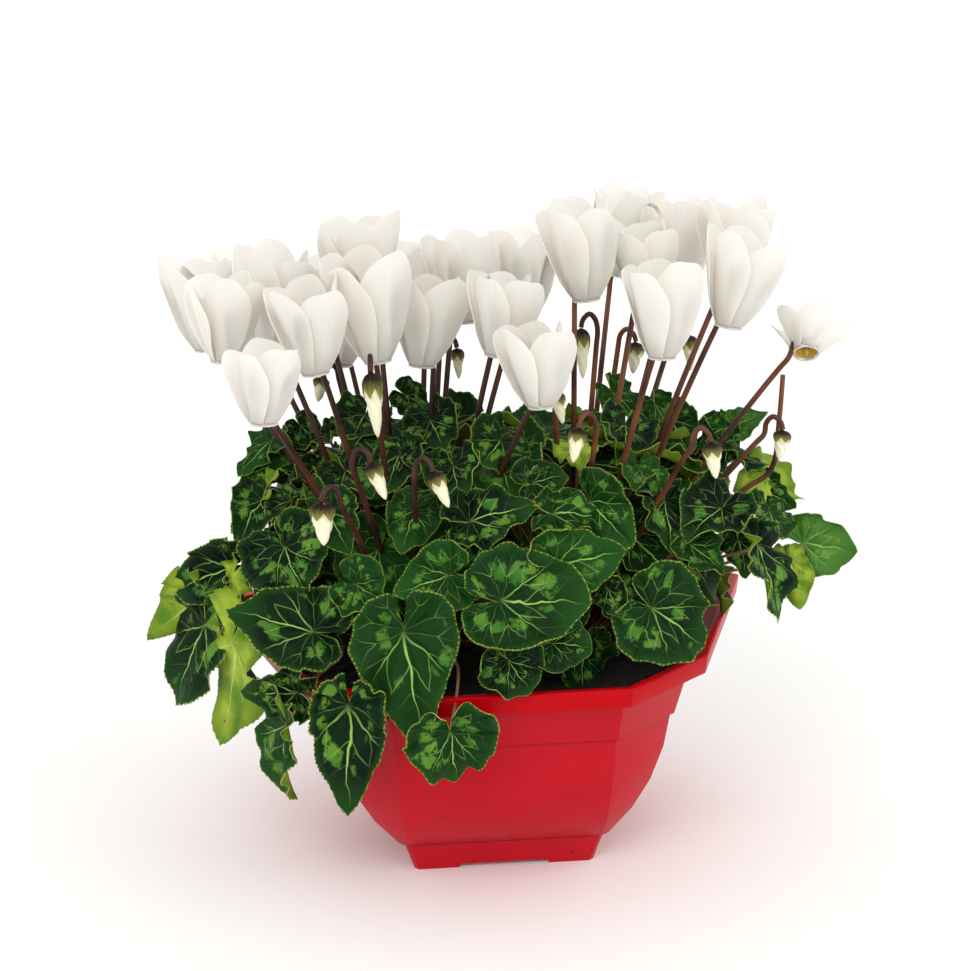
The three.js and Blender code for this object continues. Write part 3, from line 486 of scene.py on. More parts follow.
RED = red_bowl_plastic()
PEAT = damp_peat()
LEAF_SKIN = [leaf_face(), leaf_back(), leaf_edge()]
STALK_SKIN = {
    "left": red_brown_stem("left_stalk_skin", "24120E", "4E2A1E"),
    "right": red_brown_stem("right_stalk_skin", "341A12", "744428"),
}
STEM_SKIN = red_brown_stem("leaf_stem_skin", "5A3A2C", "A07458")
CORK = red_brown_stem("corm_cork", "241A14", "4A382C")
PETAL, BUD, SEPAL, GOLD = white_petal(), furled_bud(), dark_sepal(), stamen_gold()

# ---- small tools for making the pieces


def deselect():
    bpy.ops.object.select_all(action="DESELECT")


def only(obj):
    """obj alone selected and active."""
    deselect()
    obj.select_set(True)
    bpy.context.view_layer.objects.active = obj


def started(operator, **settings):
    """What an operator that adds a primitive makes, alone selected."""
    deselect()
    operator(**settings)
    return bpy.context.object


def mode(name):
    bpy.ops.object.mode_set(mode=name)


def skinned(obj, materials, index=0):
    """Gives a piece its materials, and all its faces the one at index."""
    obj.data.materials.clear()
    for material in materials:
        obj.data.materials.append(material)
    for face in obj.data.polygons:
        face.material_index = index
    return obj


def settle(obj, name, node):
    """Names a finished piece, puts its place in its mesh and ties it to the frame."""
    only(obj)
    bpy.ops.object.transform_apply(location=True, rotation=True, scale=True)
    obj.name = name
    obj.data.name = name
    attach(obj, "root")
    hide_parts(node)


def applied(obj, kind, **settings):
    only(obj)
    made = obj.modifiers.new(kind.lower(), kind)
    for name, value in settings.items():
        setattr(made, name, value)
    bpy.ops.object.modifier_apply(modifier=made.name)


def roughened(obj, name, size, strength, level=0.5, depth=2):
    """Pushes a piece's skin in and out by cloudy lumps of a size in millimetres."""
    lumps = bpy.data.textures.new(name, "CLOUDS")
    lumps.noise_scale = size * MM
    lumps.noise_depth = depth
    applied(obj, "DISPLACE", texture=lumps, strength=strength * MM, mid_level=level, texture_coords="LOCAL")


def joined(objects):
    deselect()
    for obj in objects:
        obj.select_set(True)
    bpy.context.view_layer.objects.active = objects[0]
    bpy.ops.object.join()
    return objects[0]


def flat_sheet(columns, rows):
    """A unit grid, rows from 0 to 1 along X and columns from -1 to 1 along Y, to be shaped into a blade."""
    return started(bpy.ops.mesh.primitive_grid_add, x_subdivisions=rows, y_subdivisions=columns, size=2)


def stored(mesh, name, kind, field, values):
    """Keeps a value at each point of a mesh, for its material to read."""
    store = mesh.attributes.new(name, kind, "POINT")
    store.data.foreach_set(field, np.asarray(values, np.float32).ravel())


def shaped(master, mapping, places, attribute, tone=None):
    """A copy of a flat sheet, its points moved by mapping(share, side) in millimetres and given places."""
    made = master.copy()
    mesh = made.data = master.data.copy()
    SCENE.collection.objects.link(made)
    count = len(mesh.vertices)
    flat = np.zeros(count * 3)
    mesh.vertices.foreach_get("co", flat)
    flat = flat.reshape(-1, 3)
    share = (flat[:, 0] + 1) / 2
    side = flat[:, 1]
    mesh.vertices.foreach_set("co", (mapping(share, side) * MM).astype(np.float32).ravel())
    stored(mesh, attribute, "FLOAT_VECTOR", "vector", np.stack(places(share, side), axis=1))
    if tone is not None:
        stored(mesh, "tone", "FLOAT", "value", np.full(count, tone))
    mesh.update()
    return made


def smooth(obj):
    only(obj)
    bpy.ops.object.shade_smooth()


def crisp(obj, degrees=50):
    """Smooth across each face of a thin piece and sharp round its rim."""
    only(obj)
    bpy.ops.object.shade_smooth_by_angle(angle=math.radians(degrees))


def welded(obj, distance):
    only(obj)
    mode("EDIT")
    bpy.ops.mesh.select_all(action="SELECT")
    bpy.ops.mesh.remove_doubles(threshold=distance * MM)
    mode("OBJECT")


# ---- the bowl

# Height, reach and half face of each level, up the outside, over the rim and down the inside.
LEVELS = [
    (0, 60, 57), (20, 66, 64), (22, 70, 65), (40, 86, 67),
    (60, 98, 68.5), (84, 107, 70), (107, 111.5, 71), (107.5, 114, 72),
    (136.5, 122, 75.5), (137, 134, 78.5), (149, 135.5, 79.5), (150, 134.5, 79),
    (150, 130.5, 77.2), (139.5, 129, 76.6), (136.5, 119.4, 74.2), (107.5, 111.4, 70.7),
    (107, 108.9, 69.7), (84, 104.4, 68.7), (60, 95.4, 67.2), (40, 83.4, 65.7),
    (22, 67.4, 63.7), (5, 57, 54),
]
SIDES = 8
# The bowl's back is wider than its front: by this share at the rim, growing between these heights.
SPLAY, SPLAY_FROM, SPLAY_TO = 0.33, 50, 137
DRAIN_RADIUS, DRAIN_OFFSET = 5, 30
NOTCH_SIZE = Vector((60, 18, 6))
CORNER_ROUNDING = 0.9


def widening(z):
    return 1 + SPLAY * min(1, max(0, (z - SPLAY_FROM) / (SPLAY_TO - SPLAY_FROM)))


def newest_ring(obj, chosen=lambda place: True):
    """Selects the corners that chosen picks from the ring drawn last."""
    mode("OBJECT")
    for part in (*obj.data.edges, *obj.data.polygons):
        part.select = False
    for vertex in obj.data.vertices:
        vertex.select = vertex.index >= len(obj.data.vertices) - SIDES and chosen(vertex.co)
    mode("EDIT")


def bowl():
    """One wall drawn up level by level from the underside to the rim and down again to the inner floor."""
    turn = TAU / SIDES / 2
    disc = {"vertices": SIDES, "radius": 0.1, "fill_type": "NGON", "rotation": (0, 0, turn)}
    made = started(bpy.ops.mesh.primitive_circle_add, **disc)
    bpy.ops.object.transform_apply(rotation=True)
    before = (0, 100 * math.cos(turn), 100 * math.sin(turn))
    bpy.context.tool_settings.mesh_select_mode = (True, False, False)
    for number, (z, reach, half) in enumerate(LEVELS):
        if number:
            newest_ring(made)
            rise = (0, 0, (z - before[0]) * MM)
            bpy.ops.mesh.extrude_region_move(TRANSFORM_OT_translate={"value": rise})
        wide, deep = half / before[2], reach / before[1]
        newest_ring(made, lambda place: abs(place.y) > abs(place.x))
        bpy.ops.transform.resize(value=(wide, deep, 1), center_override=(0, 0, z * MM))
        newest_ring(made, lambda place: abs(place.x) >= abs(place.y))
        bpy.ops.transform.resize(value=(deep, wide, 1), center_override=(0, 0, z * MM))
        before = (z, reach, half)
    mode("OBJECT")
    for vertex in made.data.vertices:
        if vertex.co.y > 0:
            vertex.co.x *= widening(vertex.co.z / MM)
    mode("EDIT")
    bpy.ops.mesh.select_all(action="SELECT")
    bpy.ops.mesh.normals_make_consistent(inside=False)
    mode("OBJECT")
    # A low notch in the middle of each side of the foot, and four drain holes through the floor.
    tools = []
    foot = LEVELS[0][1] * MM
    for side in range(4):
        angle = side * TAU / 4
        place = (foot * math.sin(angle), -foot * math.cos(angle), 0)
        block = {"size": 1, "location": place, "scale": NOTCH_SIZE * MM, "rotation": (0, 0, angle)}
        tools.append(started(bpy.ops.mesh.primitive_cube_add, **block))
        corner = angle + TAU / 8
        place = (DRAIN_OFFSET * MM * math.cos(corner), DRAIN_OFFSET * MM * math.sin(corner), 0)
        drill = {"vertices": 20, "radius": DRAIN_RADIUS * MM, "depth": 30 * MM, "location": place}
        tools.append(started(bpy.ops.mesh.primitive_cylinder_add, **drill))
    for tool in tools:
        applied(made, "BOOLEAN", object=tool, operation="DIFFERENCE", solver="EXACT")
        bpy.data.objects.remove(tool)
    rounding = {"width": CORNER_ROUNDING * MM, "limit_method": "ANGLE", "angle_limit": math.radians(26)}
    applied(made, "BEVEL", segments=2, **rounding)
    crisp(made, 24)
    settle(skinned(made, [RED]), "bowl", "pot")


# The peat's reach from the middle to a side, the sum of x and y at its cut corners, and half of a side.
PEAT_REACH, PEAT_CORNER, PEAT_HALF = 118.2, 190, 74


def soil():
    """Peat filled to a finger under the rim, uneven and crumbly."""
    made = flat_sheet(96, 110)
    for vertex in made.data.vertices:
        x, y = vertex.co.x * PEAT_REACH, vertex.co.y * PEAT_REACH
        over = abs(x) + abs(y)
        if over > PEAT_CORNER:
            x, y = x * PEAT_CORNER / over, y * PEAT_CORNER / over
        # The sides splay with the wall.
        share = min(1, max(0, (y + PEAT_HALF) / (2 * PEAT_HALF)))
        x *= 1 + (widening(SOIL_LEVEL - 3) - 1) * share
        vertex.co = Vector((x, y, SOIL_LEVEL)) * MM
    roughened(made, "crumbs", 12, 5, depth=4)
    roughened(made, "lumps", 4, 2.2)
    applied(made, "SOLIDIFY", thickness=6 * MM, offset=-1)
    smooth(made)
    settle(skinned(made, [PEAT]), "peat", "soil")


# ---- stalks, stems and corms


def catmull(points, steps):
    """Points along a smooth line through the given ones."""
    ends = [points[0] * 2 - points[1], *points, points[-1] * 2 - points[-2]]
    line = []
    for a, b, c, d in zip(ends, ends[1:], ends[2:], ends[3:]):
        for k in range(steps):
            t = k / steps
            square, cube = 2 * a - 5 * b + 4 * c - d, 3 * b - a - 3 * c + d
            line.append(0.5 * ((2 * b) + (c - a) * t + square * t * t + cube * t**3))
    return line + [points[-1]]


def stem(points, radius, steps=6, taper=0.85, sides=3):
    """A round stem through points, from its foot to its thinner end, as a mesh."""
    curve = started(bpy.ops.curve.primitive_nurbs_path_add).data
    curve.splines.clear()
    line = catmull(points, steps)
    spline = curve.splines.new("POLY")
    spline.points.add(len(line) - 1)
    for k, point in enumerate(line):
        spline.points[k].co = (*(point * MM), 1)
        spline.points[k].radius = 1 - (1 - taper) * k / (len(line) - 1)
    curve.dimensions = "3D"
    curve.bevel_depth = radius * MM
    curve.bevel_resolution = sides
    curve.use_fill_caps = True
    bpy.ops.object.convert(target="MESH")
    made = bpy.context.object
    smooth(made)
    return made


def stalk_foot(plant, towards):
    """Where a stalk leaves its corm: the further off it goes, the further out it starts."""
    centre = CROWNS[plant]
    way = Vector((towards.x - centre.x, towards.y - centre.y, 0))
    reach = min(15, 4 + way.length * 0.12)
    return centre + way.normalized() * reach + Vector((0, 0, CORM_HEIGHT / 2 - 6))


def bloom_axes(bloom):
    lean = math.radians(bloom.lean)
    up = Vector((math.sin(lean), bloom.away, math.cos(lean))).normalized()
    across = (Vector((1, 0, 0)) - up * up.x).normalized()
    return up, across, up.cross(across)


def rising(foot, end, bow):
    """Points from a foot up to an end, closer together towards the end, bowed upwards by bow."""
    shares = (0, 0.35, 0.65, 0.85, 0.95, 1)
    return [foot + (end - foot) * s + Vector((0, 0, 4 * bow * s * (1 - s))) for s in shares]


def bloom_stalk(bloom):
    """Up from the plant to the near side of the mouth, on behind a petal and over down into the calyx."""
    up, across, away = bloom_axes(bloom)
    base = at_depth(bloom.mouth, bloom.depth)
    foot = stalk_foot(bloom.plant, base)
    if bloom.turn == FACING:
        out = -across
    else:
        near = foot - base
        out = (across * near.dot(across) + away * max(near.dot(away), abs(near.dot(across)))).normalized()
    side = (MOUTH_RADIUS + 2.4, MOUTH_RADIUS - 1, 4.6, 0.8, 0)
    height = (-3, 9, 16, 13, MOUTH_HEIGHT)
    hook = [base + out * s + up * h for s, h in zip(side, height)]
    return [*rising(foot, hook[0], 7), *hook[1:]]


def bud_place(bud):
    top = at_depth(bud.top, bud.depth)
    tip = at_depth(bud.tip, bud.depth - 2)
    return top, tip, (tip - top).normalized()


def bud_stalk(bud):
    """Out from the plant, over in an arch and down into the bud."""
    top, _, along = bud_place(bud)
    side = Vector((bud.side, 0.5, 0)).normalized()
    arch = [top + side * a + Vector((0, 0, b)) for a, b in ((13, -4), (11.4, 4), (6.8, 8.6), (1.8, 5.6))]
    return [*rising(stalk_foot(bud.plant, top), arch[0], 3), *arch[1:], top - along * 0.4]


def bare_stalk():
    end, low = at_depth(BARE_END, BARE_DEPTH), at_depth(BARE_LOW, BARE_DEPTH)
    return [*rising(stalk_foot(BARE_PLANT, end), low, 5)[:-2], low, (low + end) / 2 + Vector((1, 0, 0)), end]


def corm(plant):
    """The flattened tuber that a plant grows from, its corky top just out of the peat."""
    ball = {"segments": 32, "ring_count": 16, "radius": CORM_RADIUS * MM}
    made = started(bpy.ops.mesh.primitive_uv_sphere_add, **ball)
    made.data.transform(Matrix.Diagonal((1, 1, CORM_HEIGHT / 2 / CORM_RADIUS, 1)))
    made.data.transform(Matrix.Translation(CROWNS[plant] * MM))
    roughened(made, "crust_" + plant, 8, 1.6, level=0.8)
    smooth(made)
    return made


def stalks(plant):
    lines = [bloom_stalk(bloom) for bloom in BLOOMS if bloom.plant == plant]
    lines += [bud_stalk(bud) for bud in BUDS if bud.plant == plant]
    if plant == BARE_PLANT:
        lines.append(bare_stalk())
    solid = plant + "_corm_and_stalks"
    made = joined([stem(line, STALK_RADIUS) for line in lines])
    settle(skinned(made, [STALK_SKIN[plant]]), plant + "_stalks", solid)
    settle(skinned(corm(plant), [CORK]), plant + "_corm", solid)


# ---- leaves

NOTCH_ANGLE = math.radians(171)
BLADE_COLUMNS = 64
BLADE_ROWS = 8
EDGE_CUTS = 3
EDGE_STEPS = BLADE_COLUMNS * (EDGE_CUTS + 1)
# The outline of a blade: degrees from its tip as seen from the hub, and reach against its length.
OUTLINE_ANGLES = np.radians([0, 9, 20, 34, 52, 76, 104, 128, 148, 164, 171])
ROUND_REACH = [1.0, 0.95, 0.85, 0.74, 0.64, 0.57, 0.53, 0.5, 0.46, 0.39, 0.3]
POINTED_REACH = [1.0, 0.85, 0.7, 0.59, 0.53, 0.51, 0.5, 0.48, 0.44, 0.37, 0.3]
# The furthest that a leaf runs along the view, how much of the way out its roll begins, and its thickness.
DEEPEST = 24
CURL_FROM = 0.72
THICKNESS = 0.5
# Which draws each kind of leaf takes, beside those of LEAVES and the back ones, which follow on.
BETWEEN_SEED, UNDER_SEED = 100, 200


def blade_radius(angle, wide, pointed):
    round_reach = np.interp(np.abs(angle), OUTLINE_ANGLES, ROUND_REACH)
    pointed_reach = np.interp(np.abs(angle), OUTLINE_ANGLES, POINTED_REACH)
    reach = round_reach + (pointed_reach - round_reach) * pointed
    return reach + np.abs(np.sin(angle)) * (wide - 1) * 0.55


def blade_rise(i, angle, radius):
    cup = 0.16 * draw(i, 1) * radius
    wave = 0.07 * radius**2 * np.sin(3 * angle + TAU * draw(i, 2))
    fold = (0.28 * draw(i, 3) - 0.06) * np.abs(np.sin(angle)) * radius
    # The blade arches between its hub and its tip.
    droop = (0.15 + 0.3 * draw(i, 4)) * np.maximum(0, np.cos(angle)) * radius * (1 - radius)
    return cup + wave + fold + droop


def leaf_axes(hub, tip, turn, shown=0):
    """A blade's hub, midrib, face, side and length; shown leans its face towards the eye."""
    forward = tip - hub
    length = forward.length
    forward = forward.normalized()
    face = divided(divided((hub + tip) * 0.5 - MOUND_CENTRE, MOUND_RADII), MOUND_RADII).normalized()
    face = face + (EYE - hub).normalized() * shown
    face = (face - forward * face.dot(forward)).normalized()
    face = Quaternion(forward, math.radians(turn)) @ face
    return hub, forward, face, face.cross(forward), length


def shown_leaf(leaf):
    turn = leaf.turn + 180 * (leaf.hub in TURNED_OVER)
    start, end = on_mound(leaf.hub, leaf.lift), on_mound(leaf.tip, leaf.lift)
    # Near the mound's outline a blade would run far along the view, so its tip stays near its hub's depth.
    depth = start.y + max(-DEEPEST, min(DEEPEST, end.y - start.y))
    return leaf_axes(start, at_depth(leaf.tip, depth), turn, 1.0)


def mound_place(around, polar, grow):
    way = Vector((math.cos(around) * math.sin(polar), math.sin(around) * math.sin(polar), math.cos(polar)))
    return way * grow * MOUND_RADII + MOUND_CENTRE


def back_leaf(n):
    """A leaf of the mound's far side, where the view doesn't reach."""
    share = (n + 0.5) / BACK_LEAVES
    # The low ones keep off the sides, and their tips stay above the bowl's rim.
    around = (n * GOLDEN_ANGLE % math.pi) * (1 - 0.3 * share) + 0.15 * math.pi * share
    polar = math.radians(26 + 39 * share)
    lift = 0.86 + 0.08 * draw(n, 11)
    tip = mound_place(around, polar + 0.32 + 0.08 * draw(n, 12), lift + 0.03)
    return leaf_axes(mound_place(around, polar, lift), tip, 50 * (draw(n, 13) - 0.5))


def under_leaf(n):
    """A leaf of the shaded layer under the outer ones, all round the mound."""
    share = (n + 0.5) / UNDER_LEAVES
    around = n * GOLDEN_ANGLE
    polar = math.radians(8 + 78 * share**0.8)
    grow = 0.84 - 0.26 * share + 0.1 * draw(n, 21)
    tip = mound_place(around + 0.2 * (draw(n, 22) - 0.5), polar + 0.4, grow)
    return leaf_axes(mound_place(around, polar, grow), tip, 70 * (draw(n, 23) - 0.5))


def blade(master, axes, i, wide, tone):
    """One blade: heart-shaped, toothed, cupped, its edge waved and on some leaves rolled up at one side."""
    hub, forward, face, side, length = (np.array(v) for v in axes)
    roll = 2.6 * max(0, draw(i, 8) - 0.4) / 0.6
    rolled_side = 1 if draw(i, 9) > 0.5 else -1
    # Small, young leaves are the most ruffled.
    ruffle = 1 + 0.9 * min(1, max(0, (70 - length) / 25))

    def waves(angle, *each):
        """A sum of waves round the blade, each a height, how many there are and the draw that turns it."""
        return sum(height * np.sin(count * angle + TAU * draw(i, k)) for height, count, k in each)

    def polar(share, t):
        angle = t * NOTCH_ANGLE
        step = np.rint((t + 1) / 2 * EDGE_STEPS)
        tooth = np.where(step % 2 == 0, 0.011, -0.011) * (share > 0.98) * (0.5 + 0.6 * draw(i, 10))
        lobes = 0.01 * np.cos(angle * TAU / VEIN_STEP)
        lobes = lobes + waves(angle, (0.014, 13, 12), (0.04, 2, 15), (0.02, 5, 16))
        return angle, blade_radius(angle, wide, draw(i, 17)) * share * (1 + lobes * share**3) + tooth

    def mapping(share, t):
        angle, radius = polar(share, t)
        wave = waves(
            angle,
            (0.05 * ruffle * share**2, 5, 5),
            (0.034 * ruffle * share**3, 11, 6),
            (0.012 * share**4, 23, 14),
        )
        quilt = -0.014 * np.cos(angle * TAU / VEIN_STEP) * share * (1 - share) * 4
        rise = blade_rise(i, angle, radius) + wave + quilt
        outer = np.clip((share - CURL_FROM) / (1 - CURL_FROM), 0, 1)
        where = np.clip(1.4 * np.sin(angle) * rolled_side - 0.3, 0, 1) * (0.7 + 0.3 * np.sin(6 * angle + i))
        bend = roll * where * outer + 1e-6
        kept = CURL_FROM + (1 - CURL_FROM) * outer * np.sin(bend) / bend
        radius = np.where(outer > 0, radius / np.maximum(share, 1e-6) * kept, radius)
        rise = rise + (1 - CURL_FROM) * 0.6 * outer * (1 - np.cos(bend)) / bend
        return (
            hub
            + np.outer(np.cos(angle) * radius * length, forward)
            + np.outer(np.sin(angle) * radius * length, side)
            + np.outer(rise * length, face)
        )

    def places(share, t):
        angle, radius = polar(share, t)
        return np.cos(angle) * radius, np.sin(angle) * radius, share

    return shaped(master, mapping, places, "blade_place", tone)


def leaf_stem(axes):
    """From the nearest corm up to a blade's hub, over the bowl's rim where the hub hangs below it."""
    hub, forward = axes[:2]
    foot = stalk_foot(min(CROWNS, key=lambda plant: (CROWNS[plant] - hub).length), hub)
    clear = BOWL_HEIGHT + 16
    over = Vector((hub.x, hub.y, max(hub.z, clear)))
    points = [foot, foot + (over - foot) * 0.55 + Vector((0, 0, 10)), hub + forward * 1.5]
    if hub.z < clear:
        bend = CORE_CENTRE + (hub - CORE_CENTRE) * 0.8
        bend.z = clear - 2
        points.insert(2, bend)
    return stem(points, 1.25, steps=5, taper=0.8, sides=2)


def toothed_sheet():
    """The sheet that every blade starts from, with more points along its outer edge, for the teeth."""
    made = flat_sheet(BLADE_COLUMNS, BLADE_ROWS)
    only(made)
    mesh = made.data
    for vertex in mesh.vertices:
        vertex.select = vertex.co.x > 0.999
    for edge in mesh.edges:
        edge.select = all(mesh.vertices[k].select for k in edge.vertices)
    for polygon in mesh.polygons:
        polygon.select = False
    bpy.context.tool_settings.mesh_select_mode = (False, True, False)
    mode("EDIT")
    bpy.ops.mesh.subdivide(number_cuts=EDGE_CUTS, ngon=True, quadcorner="INNERVERT")
    mode("OBJECT")
    bpy.context.tool_settings.mesh_select_mode = (True, False, False)
    return made


def foliage():
    master = toothed_sheet()

    def seen(rows, first):
        return [(shown_leaf(leaf), i, leaf.wide, leaf.tone) for i, leaf in enumerate(rows, first)]

    leaves = seen(LEAVES, 0)
    leaves += [(back_leaf(n), len(LEAVES) + n, 1.15, None) for n in range(BACK_LEAVES)]
    leaves += seen(BETWEEN_LEAVES, BETWEEN_SEED)
    leaves += [(under_leaf(n), UNDER_SEED + n, 1.1, None) for n in range(UNDER_LEAVES)]
    groups = {"left": [], "middle": [], "right": [], "back": []}
    for axes, i, wide, tone in leaves:
        hub = axes[0]
        group = "back" if hub.y > 30 else "left" if hub.x < -60 else "right" if hub.x > 70 else "middle"
        tone = draw(i, 7) if tone is None else tone
        groups[group].append(blade(master, axes, i, wide, tone))
    for name, blades in groups.items():
        made = skinned(joined(blades), LEAF_SKIN)
        welded(made, 0.005)
        backed = {"material_offset": 1, "material_offset_rim": 2}
        applied(made, "SOLIDIFY", thickness=THICKNESS * MM, offset=-1, **backed)
        crisp(made)
        settle(made, name + "_leaves", "foliage")
    bpy.data.objects.remove(master)
    made = joined([leaf_stem(leaf[0]) for leaf in leaves])
    settle(skinned(made, [STEM_SKIN]), "leaf_stems", "foliage")


# ---- blooms

PETALS = 5
PETAL_COLUMNS = 14
PETAL_ROWS = 20
USUAL_PETAL = 60
SKIN = [PETAL, SEPAL, GOLD]


def petal_half(v):
    return 4.6 + 13.6 * np.sin(np.minimum(1, v / 0.7) * math.pi / 2)


def petal_out(v):
    return MOUTH_RADIUS - 1.2 + 11.8 * np.sin(v * math.pi / 2) ** 0.8


def petal(master, bloom, i, number):
    """One petal: narrow at the mouth, broad and round above, wrapped round the bloom over its neighbour."""
    up, across, away = bloom_axes(bloom)
    base = np.array(at_depth(bloom.mouth, bloom.depth))
    seed = i * 7 + number
    angle = math.radians(bloom.turn) + (number + 0.5 + 0.16 * (draw(seed, 35) - 0.5)) / PETALS * TAU
    out = across * math.cos(angle) + away * math.sin(angle)
    side = np.array(up.cross(out))
    out, up = np.array(out), np.array(up)
    girth = math.sqrt(bloom.petal / USUAL_PETAL) * (0.97 + 0.1 * draw(seed, 36))
    long = bloom.petal * (0.92 + 0.12 * draw(seed, 31))
    # The bloom opens more towards one side than the other.
    opens = 360 * draw(i, 33) if bloom.opens is None else bloom.opens
    opening = (2 + 3 * draw(i, 39)) * math.cos(angle - math.radians(opens))
    flare = 1.5 + opening + 2 * draw(seed, 33) + bloom.spread
    slant = 6 * (draw(seed, 37) - 0.5)

    def mapping(share, t):
        v = share * (1 - 0.3 * np.abs(t) ** 3)
        across_petal = t * petal_half(v) * girth
        reach = petal_out(v) * (1 + (girth - 1) * np.minimum(1, v * 5))
        # The edge under the neighbour follows the bloom's roundness, the one over it stands off.
        bend = reach / np.where(t < 0, 1.0, 0.62)
        wrap = bend * (1 - np.cos(across_petal / bend))
        sideways = bend * np.sin(across_petal / bend)
        swing = t * (2.4 * np.minimum(1, v * 4) + 2.8 * v)
        wave = 0.9 * np.sin(5 * v + 3 * t + TAU * draw(seed, 32)) * v * np.abs(t)
        distance = reach - wrap + swing + wave + flare * v**2
        ripple = 0.9 * np.sin(5 * t + TAU * draw(seed, 38)) * share**6
        return (
            base
            + np.outer(v * long + 1 + ripple, up)
            + np.outer(sideways + slant * v**2, side)
            + np.outer(distance, out)
        )

    def places(share, t):
        return t, share, np.full_like(t, seed * 0.37)

    return shaped(master, mapping, places, "petal_place")


def spun(profile, steps):
    """A body of revolution: a profile of (radius, height) in millimetres spun about Z."""
    made = started(bpy.ops.mesh.primitive_plane_add, size=MM)
    mode("EDIT")
    bpy.ops.mesh.select_all(action="SELECT")
    bpy.ops.mesh.merge(type="CENTER")
    mode("OBJECT")
    made.data.vertices[0].co = (profile[0][0] * MM, 0, profile[0][1] * MM)
    mode("EDIT")
    for (r0, z0), (r1, z1) in zip(profile, profile[1:]):
        step = ((r1 - r0) * MM, 0, (z1 - z0) * MM)
        bpy.ops.mesh.extrude_region_move(TRANSFORM_OT_translate={"value": step})
    bpy.ops.mesh.select_all(action="SELECT")
    bpy.ops.mesh.spin(steps=steps, angle=TAU, center=(0, 0, 0), axis=(0, 0, 1))
    bpy.ops.mesh.select_all(action="SELECT")
    bpy.ops.mesh.remove_doubles(threshold=0.01 * MM)
    bpy.ops.mesh.normals_make_consistent(inside=False)
    mode("OBJECT")
    return made


def stood(obj, places, base, axis):
    """Keeps the places of a spun body's points, stands it at base along axis and makes it smooth."""
    stored(obj.data, "petal_place", "FLOAT_VECTOR", "vector", places)
    turn = Vector((0, 0, 1)).rotation_difference(axis).to_matrix().to_4x4()
    obj.data.transform(Matrix.Translation(base * MM) @ turn)
    smooth(obj)
    return obj


# The flower's mouth, over its top, round its lip and back in, and the cone of anthers in it.
CUP = [
    (0.01, MOUTH_HEIGHT), (5.0, MOUTH_HEIGHT), (7.4, 4.2), (8.6, 2), (9.1, 0.4), (8.9, -0.2),
    (8.2, 0), (7.4, 1.6), (5.6, 3.4), (4.0, 4.0), (0.01, 4.2),
]
CONE = [(0.01, 4.4), (2.6, 4.2), (2.2, 1.6), (1.2, -0.6), (0.01, -1.6)]
STAIN_RADIUS = 7.2


def mouth_part(profile, steps, base, up):
    """A spun part of the mouth, its places low on the petals, whose foot it is."""
    made = spun(profile, steps)
    top = max(height for _, height in profile)
    places = [(0, max(0, vertex.co.z / MM / top) * 0.1, 0) for vertex in made.data.vertices]
    return stood(made, places, base, up)


def calyx(base, up, across, reach, length, start):
    """Five pointed sepals lying along what they hold; reach gives the distance from its axis at a height."""
    master = flat_sheet(4, 7)
    away = up.cross(across)
    made = []
    for number in range(PETALS):
        angle = (number + start) / PETALS * TAU
        out = np.array(across * math.cos(angle) + away * math.sin(angle))
        side = np.cross(np.array(up), out)

        def mapping(share, t):
            height = share * length * (1 + 0.1 * math.sin(3 * number))
            distance = reach(height) + 0.25
            half = distance * math.tan(TAU / 10) * np.clip(1.15 * (1 - share**1.7), 0, 1)
            return (
                np.array(base)
                + np.outer(height, np.array(up))
                + np.outer(distance - 0.35 * t * t * half, out)
                + np.outer(t * half, side)
            )

        made.append(shaped(master, mapping, lambda share, t: (t, share, share), "petal_place"))
    bpy.data.objects.remove(master)
    made = joined(made)
    applied(made, "SOLIDIFY", thickness=0.3 * MM, offset=1)
    crisp(made)
    return made


def blooms():
    master = flat_sheet(PETAL_COLUMNS, PETAL_ROWS)
    for i, bloom in enumerate(BLOOMS):
        up, across, _ = bloom_axes(bloom)
        base = at_depth(bloom.mouth, bloom.depth)
        petals = joined([petal(master, bloom, i, number) for number in range(PETALS)])
        welded(petals, 0.01)
        applied(petals, "SOLIDIFY", thickness=THICKNESS * MM, offset=-1)
        crisp(petals)
        cup = skinned(mouth_part(CUP, 24, base, up), SKIN, SKIN.index(PETAL))
        # The inside of the mouth is stained golden brown.
        for face in cup.data.polygons:
            off_axis = (face.center - base * MM).cross(up).length / MM
            if face.normal.dot(up) < -0.2 and off_axis < STAIN_RADIUS:
                face.material_index = SKIN.index(GOLD)
        over_mouth = base + up * (MOUTH_HEIGHT + 0.3)
        sepals = calyx(over_mouth, up, across, lambda height: 2.2 + height * 0.9, 5.5, 0.25)
        anthers = mouth_part(CONE, 10, base, up)
        skinned(petals, SKIN, SKIN.index(PETAL))
        skinned(sepals, SKIN, SKIN.index(SEPAL))
        skinned(anthers, SKIN, SKIN.index(GOLD))
        number = f"{i + 1:02d}"
        settle(joined([petals, cup, sepals, anthers]), "bloom_head_" + number, "bloom_" + number)
    bpy.data.objects.remove(master)


# A bud's outline: share of its length from the top, and reach as a share of its girth.
BUD_SHARES = [0, 0.03, 0.08, 0.17, 0.27, 0.38, 0.5, 0.65, 0.8, 0.93, 1]
BUD_REACH = [0, 0.45, 0.78, 1.0, 1.0, 0.9, 0.78, 0.66, 0.5, 0.3, 0]


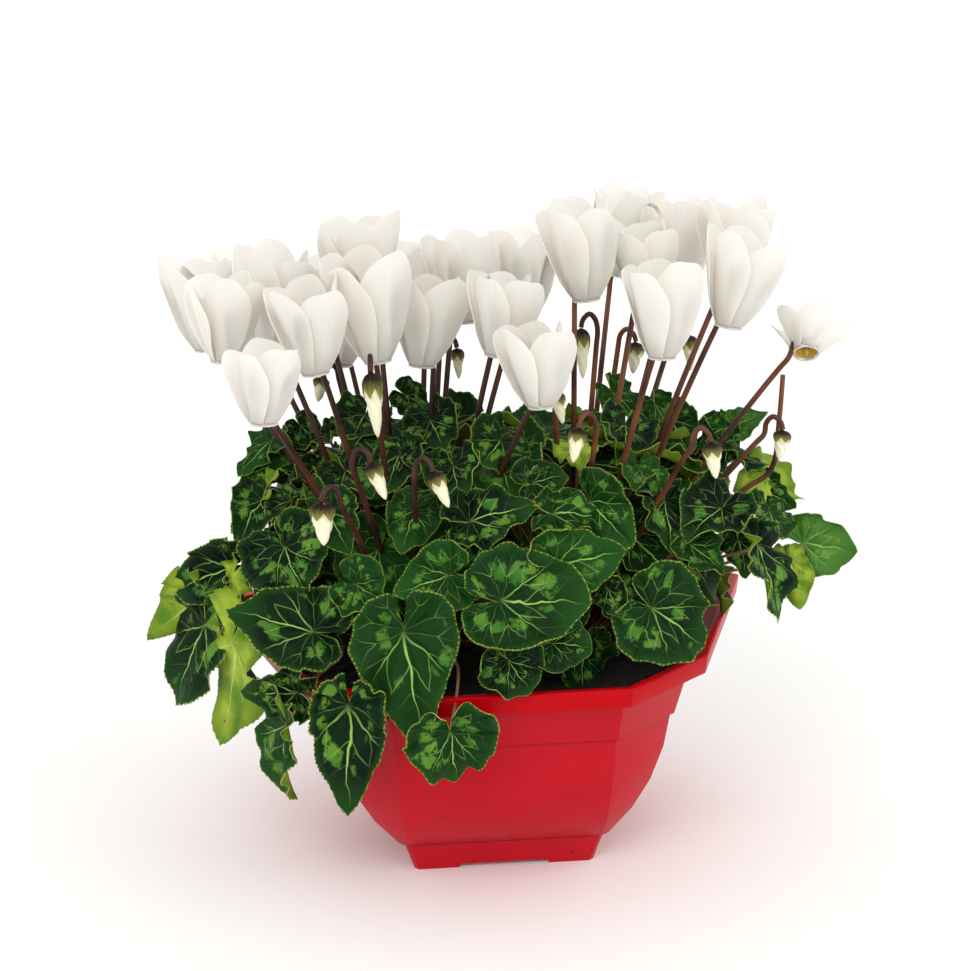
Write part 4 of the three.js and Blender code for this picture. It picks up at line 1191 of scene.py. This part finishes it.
def buds():
    for i, bud in enumerate(BUDS):
        top, tip, along = bud_place(bud)
        length, girth = (tip - top).length, bud.girth
        made = spun([(max(0.01, r * girth), s * length) for s, r in zip(BUD_SHARES, BUD_REACH)], 30)
        applied(made, "SUBSURF", levels=1, render_levels=1)
        places = []
        # Five petals wrapped in a spiral: a ridge at each edge, turning round on the way down.
        for vertex in made.data.vertices:
            share = max(0.0, min(1.0, vertex.co.z / (length * MM)))
            spiral = (math.atan2(vertex.co.y, vertex.co.x) * PETALS / TAU + share * 3.2) % 1
            ridge = 1 + 0.2 * (spiral**2 - 0.45) * math.sin(share * math.pi) ** 0.5
            vertex.co.x *= ridge
            vertex.co.y *= ridge
            places.append((spiral, share, i * 0.3))
        stood(made, places, top, along)

        def reach(height):
            return np.interp(height / length, BUD_SHARES, BUD_REACH) * girth * 1.06 + 0.2

        across = along.orthogonal().normalized()
        sepals = calyx(top, along, across, reach, length * 0.4, draw(i, 41))
        made = joined([skinned(made, [BUD, SEPAL]), skinned(sepals, [BUD, SEPAL], 1)])
        number = f"{i + 1:02d}"
        settle(made, "bud_head_" + number, "bud_" + number)


# ---- floor, light and camera

FLOOR_SIDE = 200
FAR = 300
# A broad window light from above on the left, and a weaker one from the right: place in metres, spread in
# degrees and strength.
LIGHTS = {"key": ((-0.7, -2.0, 1.8), 40, 0.95), "fill": ((1.8, -1.3, 1.4), 60, 0.6)}
LIT_POINT = Vector((0, 0, 0.22))


def studio():
    floor = started(bpy.ops.mesh.primitive_plane_add, size=FLOOR_SIDE)
    floor.name = "floor"
    floor.data.materials.append(pale_floor())
    world = bpy.data.worlds.new("studio")
    SCENE.world = world
    world.use_nodes = True
    back = world.node_tree.nodes["Background"]
    back.inputs[0].default_value = (1, 1, 1, 1)
    back.inputs[1].default_value = 1.0
    for name, (place, spread, strength) in LIGHTS.items():
        light = bpy.data.lights.new(name, "SUN")
        light.angle = math.radians(spread)
        light.energy = strength
        lamp = bpy.data.objects.new(name, light)
        SCENE.collection.objects.link(lamp)
        lamp.location = place
        lamp.rotation_euler = (LIT_POINT - Vector(place)).to_track_quat("-Z", "Y").to_euler()
    SCENE.view_settings.view_transform = "Standard"


def camera():
    lens = bpy.data.cameras.new("camera")
    lens.sensor_width = SENSOR
    lens.lens = FOCAL_PIXELS / PICTURE_SIDE * SENSOR
    lens.clip_end = FAR
    seen = bpy.data.objects.new("camera", lens)
    SCENE.collection.objects.link(seen)
    axes = Matrix((RIGHT, UPWARD, -FORWARD)).transposed().to_4x4()
    seen.matrix_world = Matrix.Translation(EYE * MM) @ axes
    SCENE.camera = seen


bowl()
soil()
for plant in CROWNS:
    stalks(plant)
foliage()
blooms()
buds()
studio()
camera()
deselect()
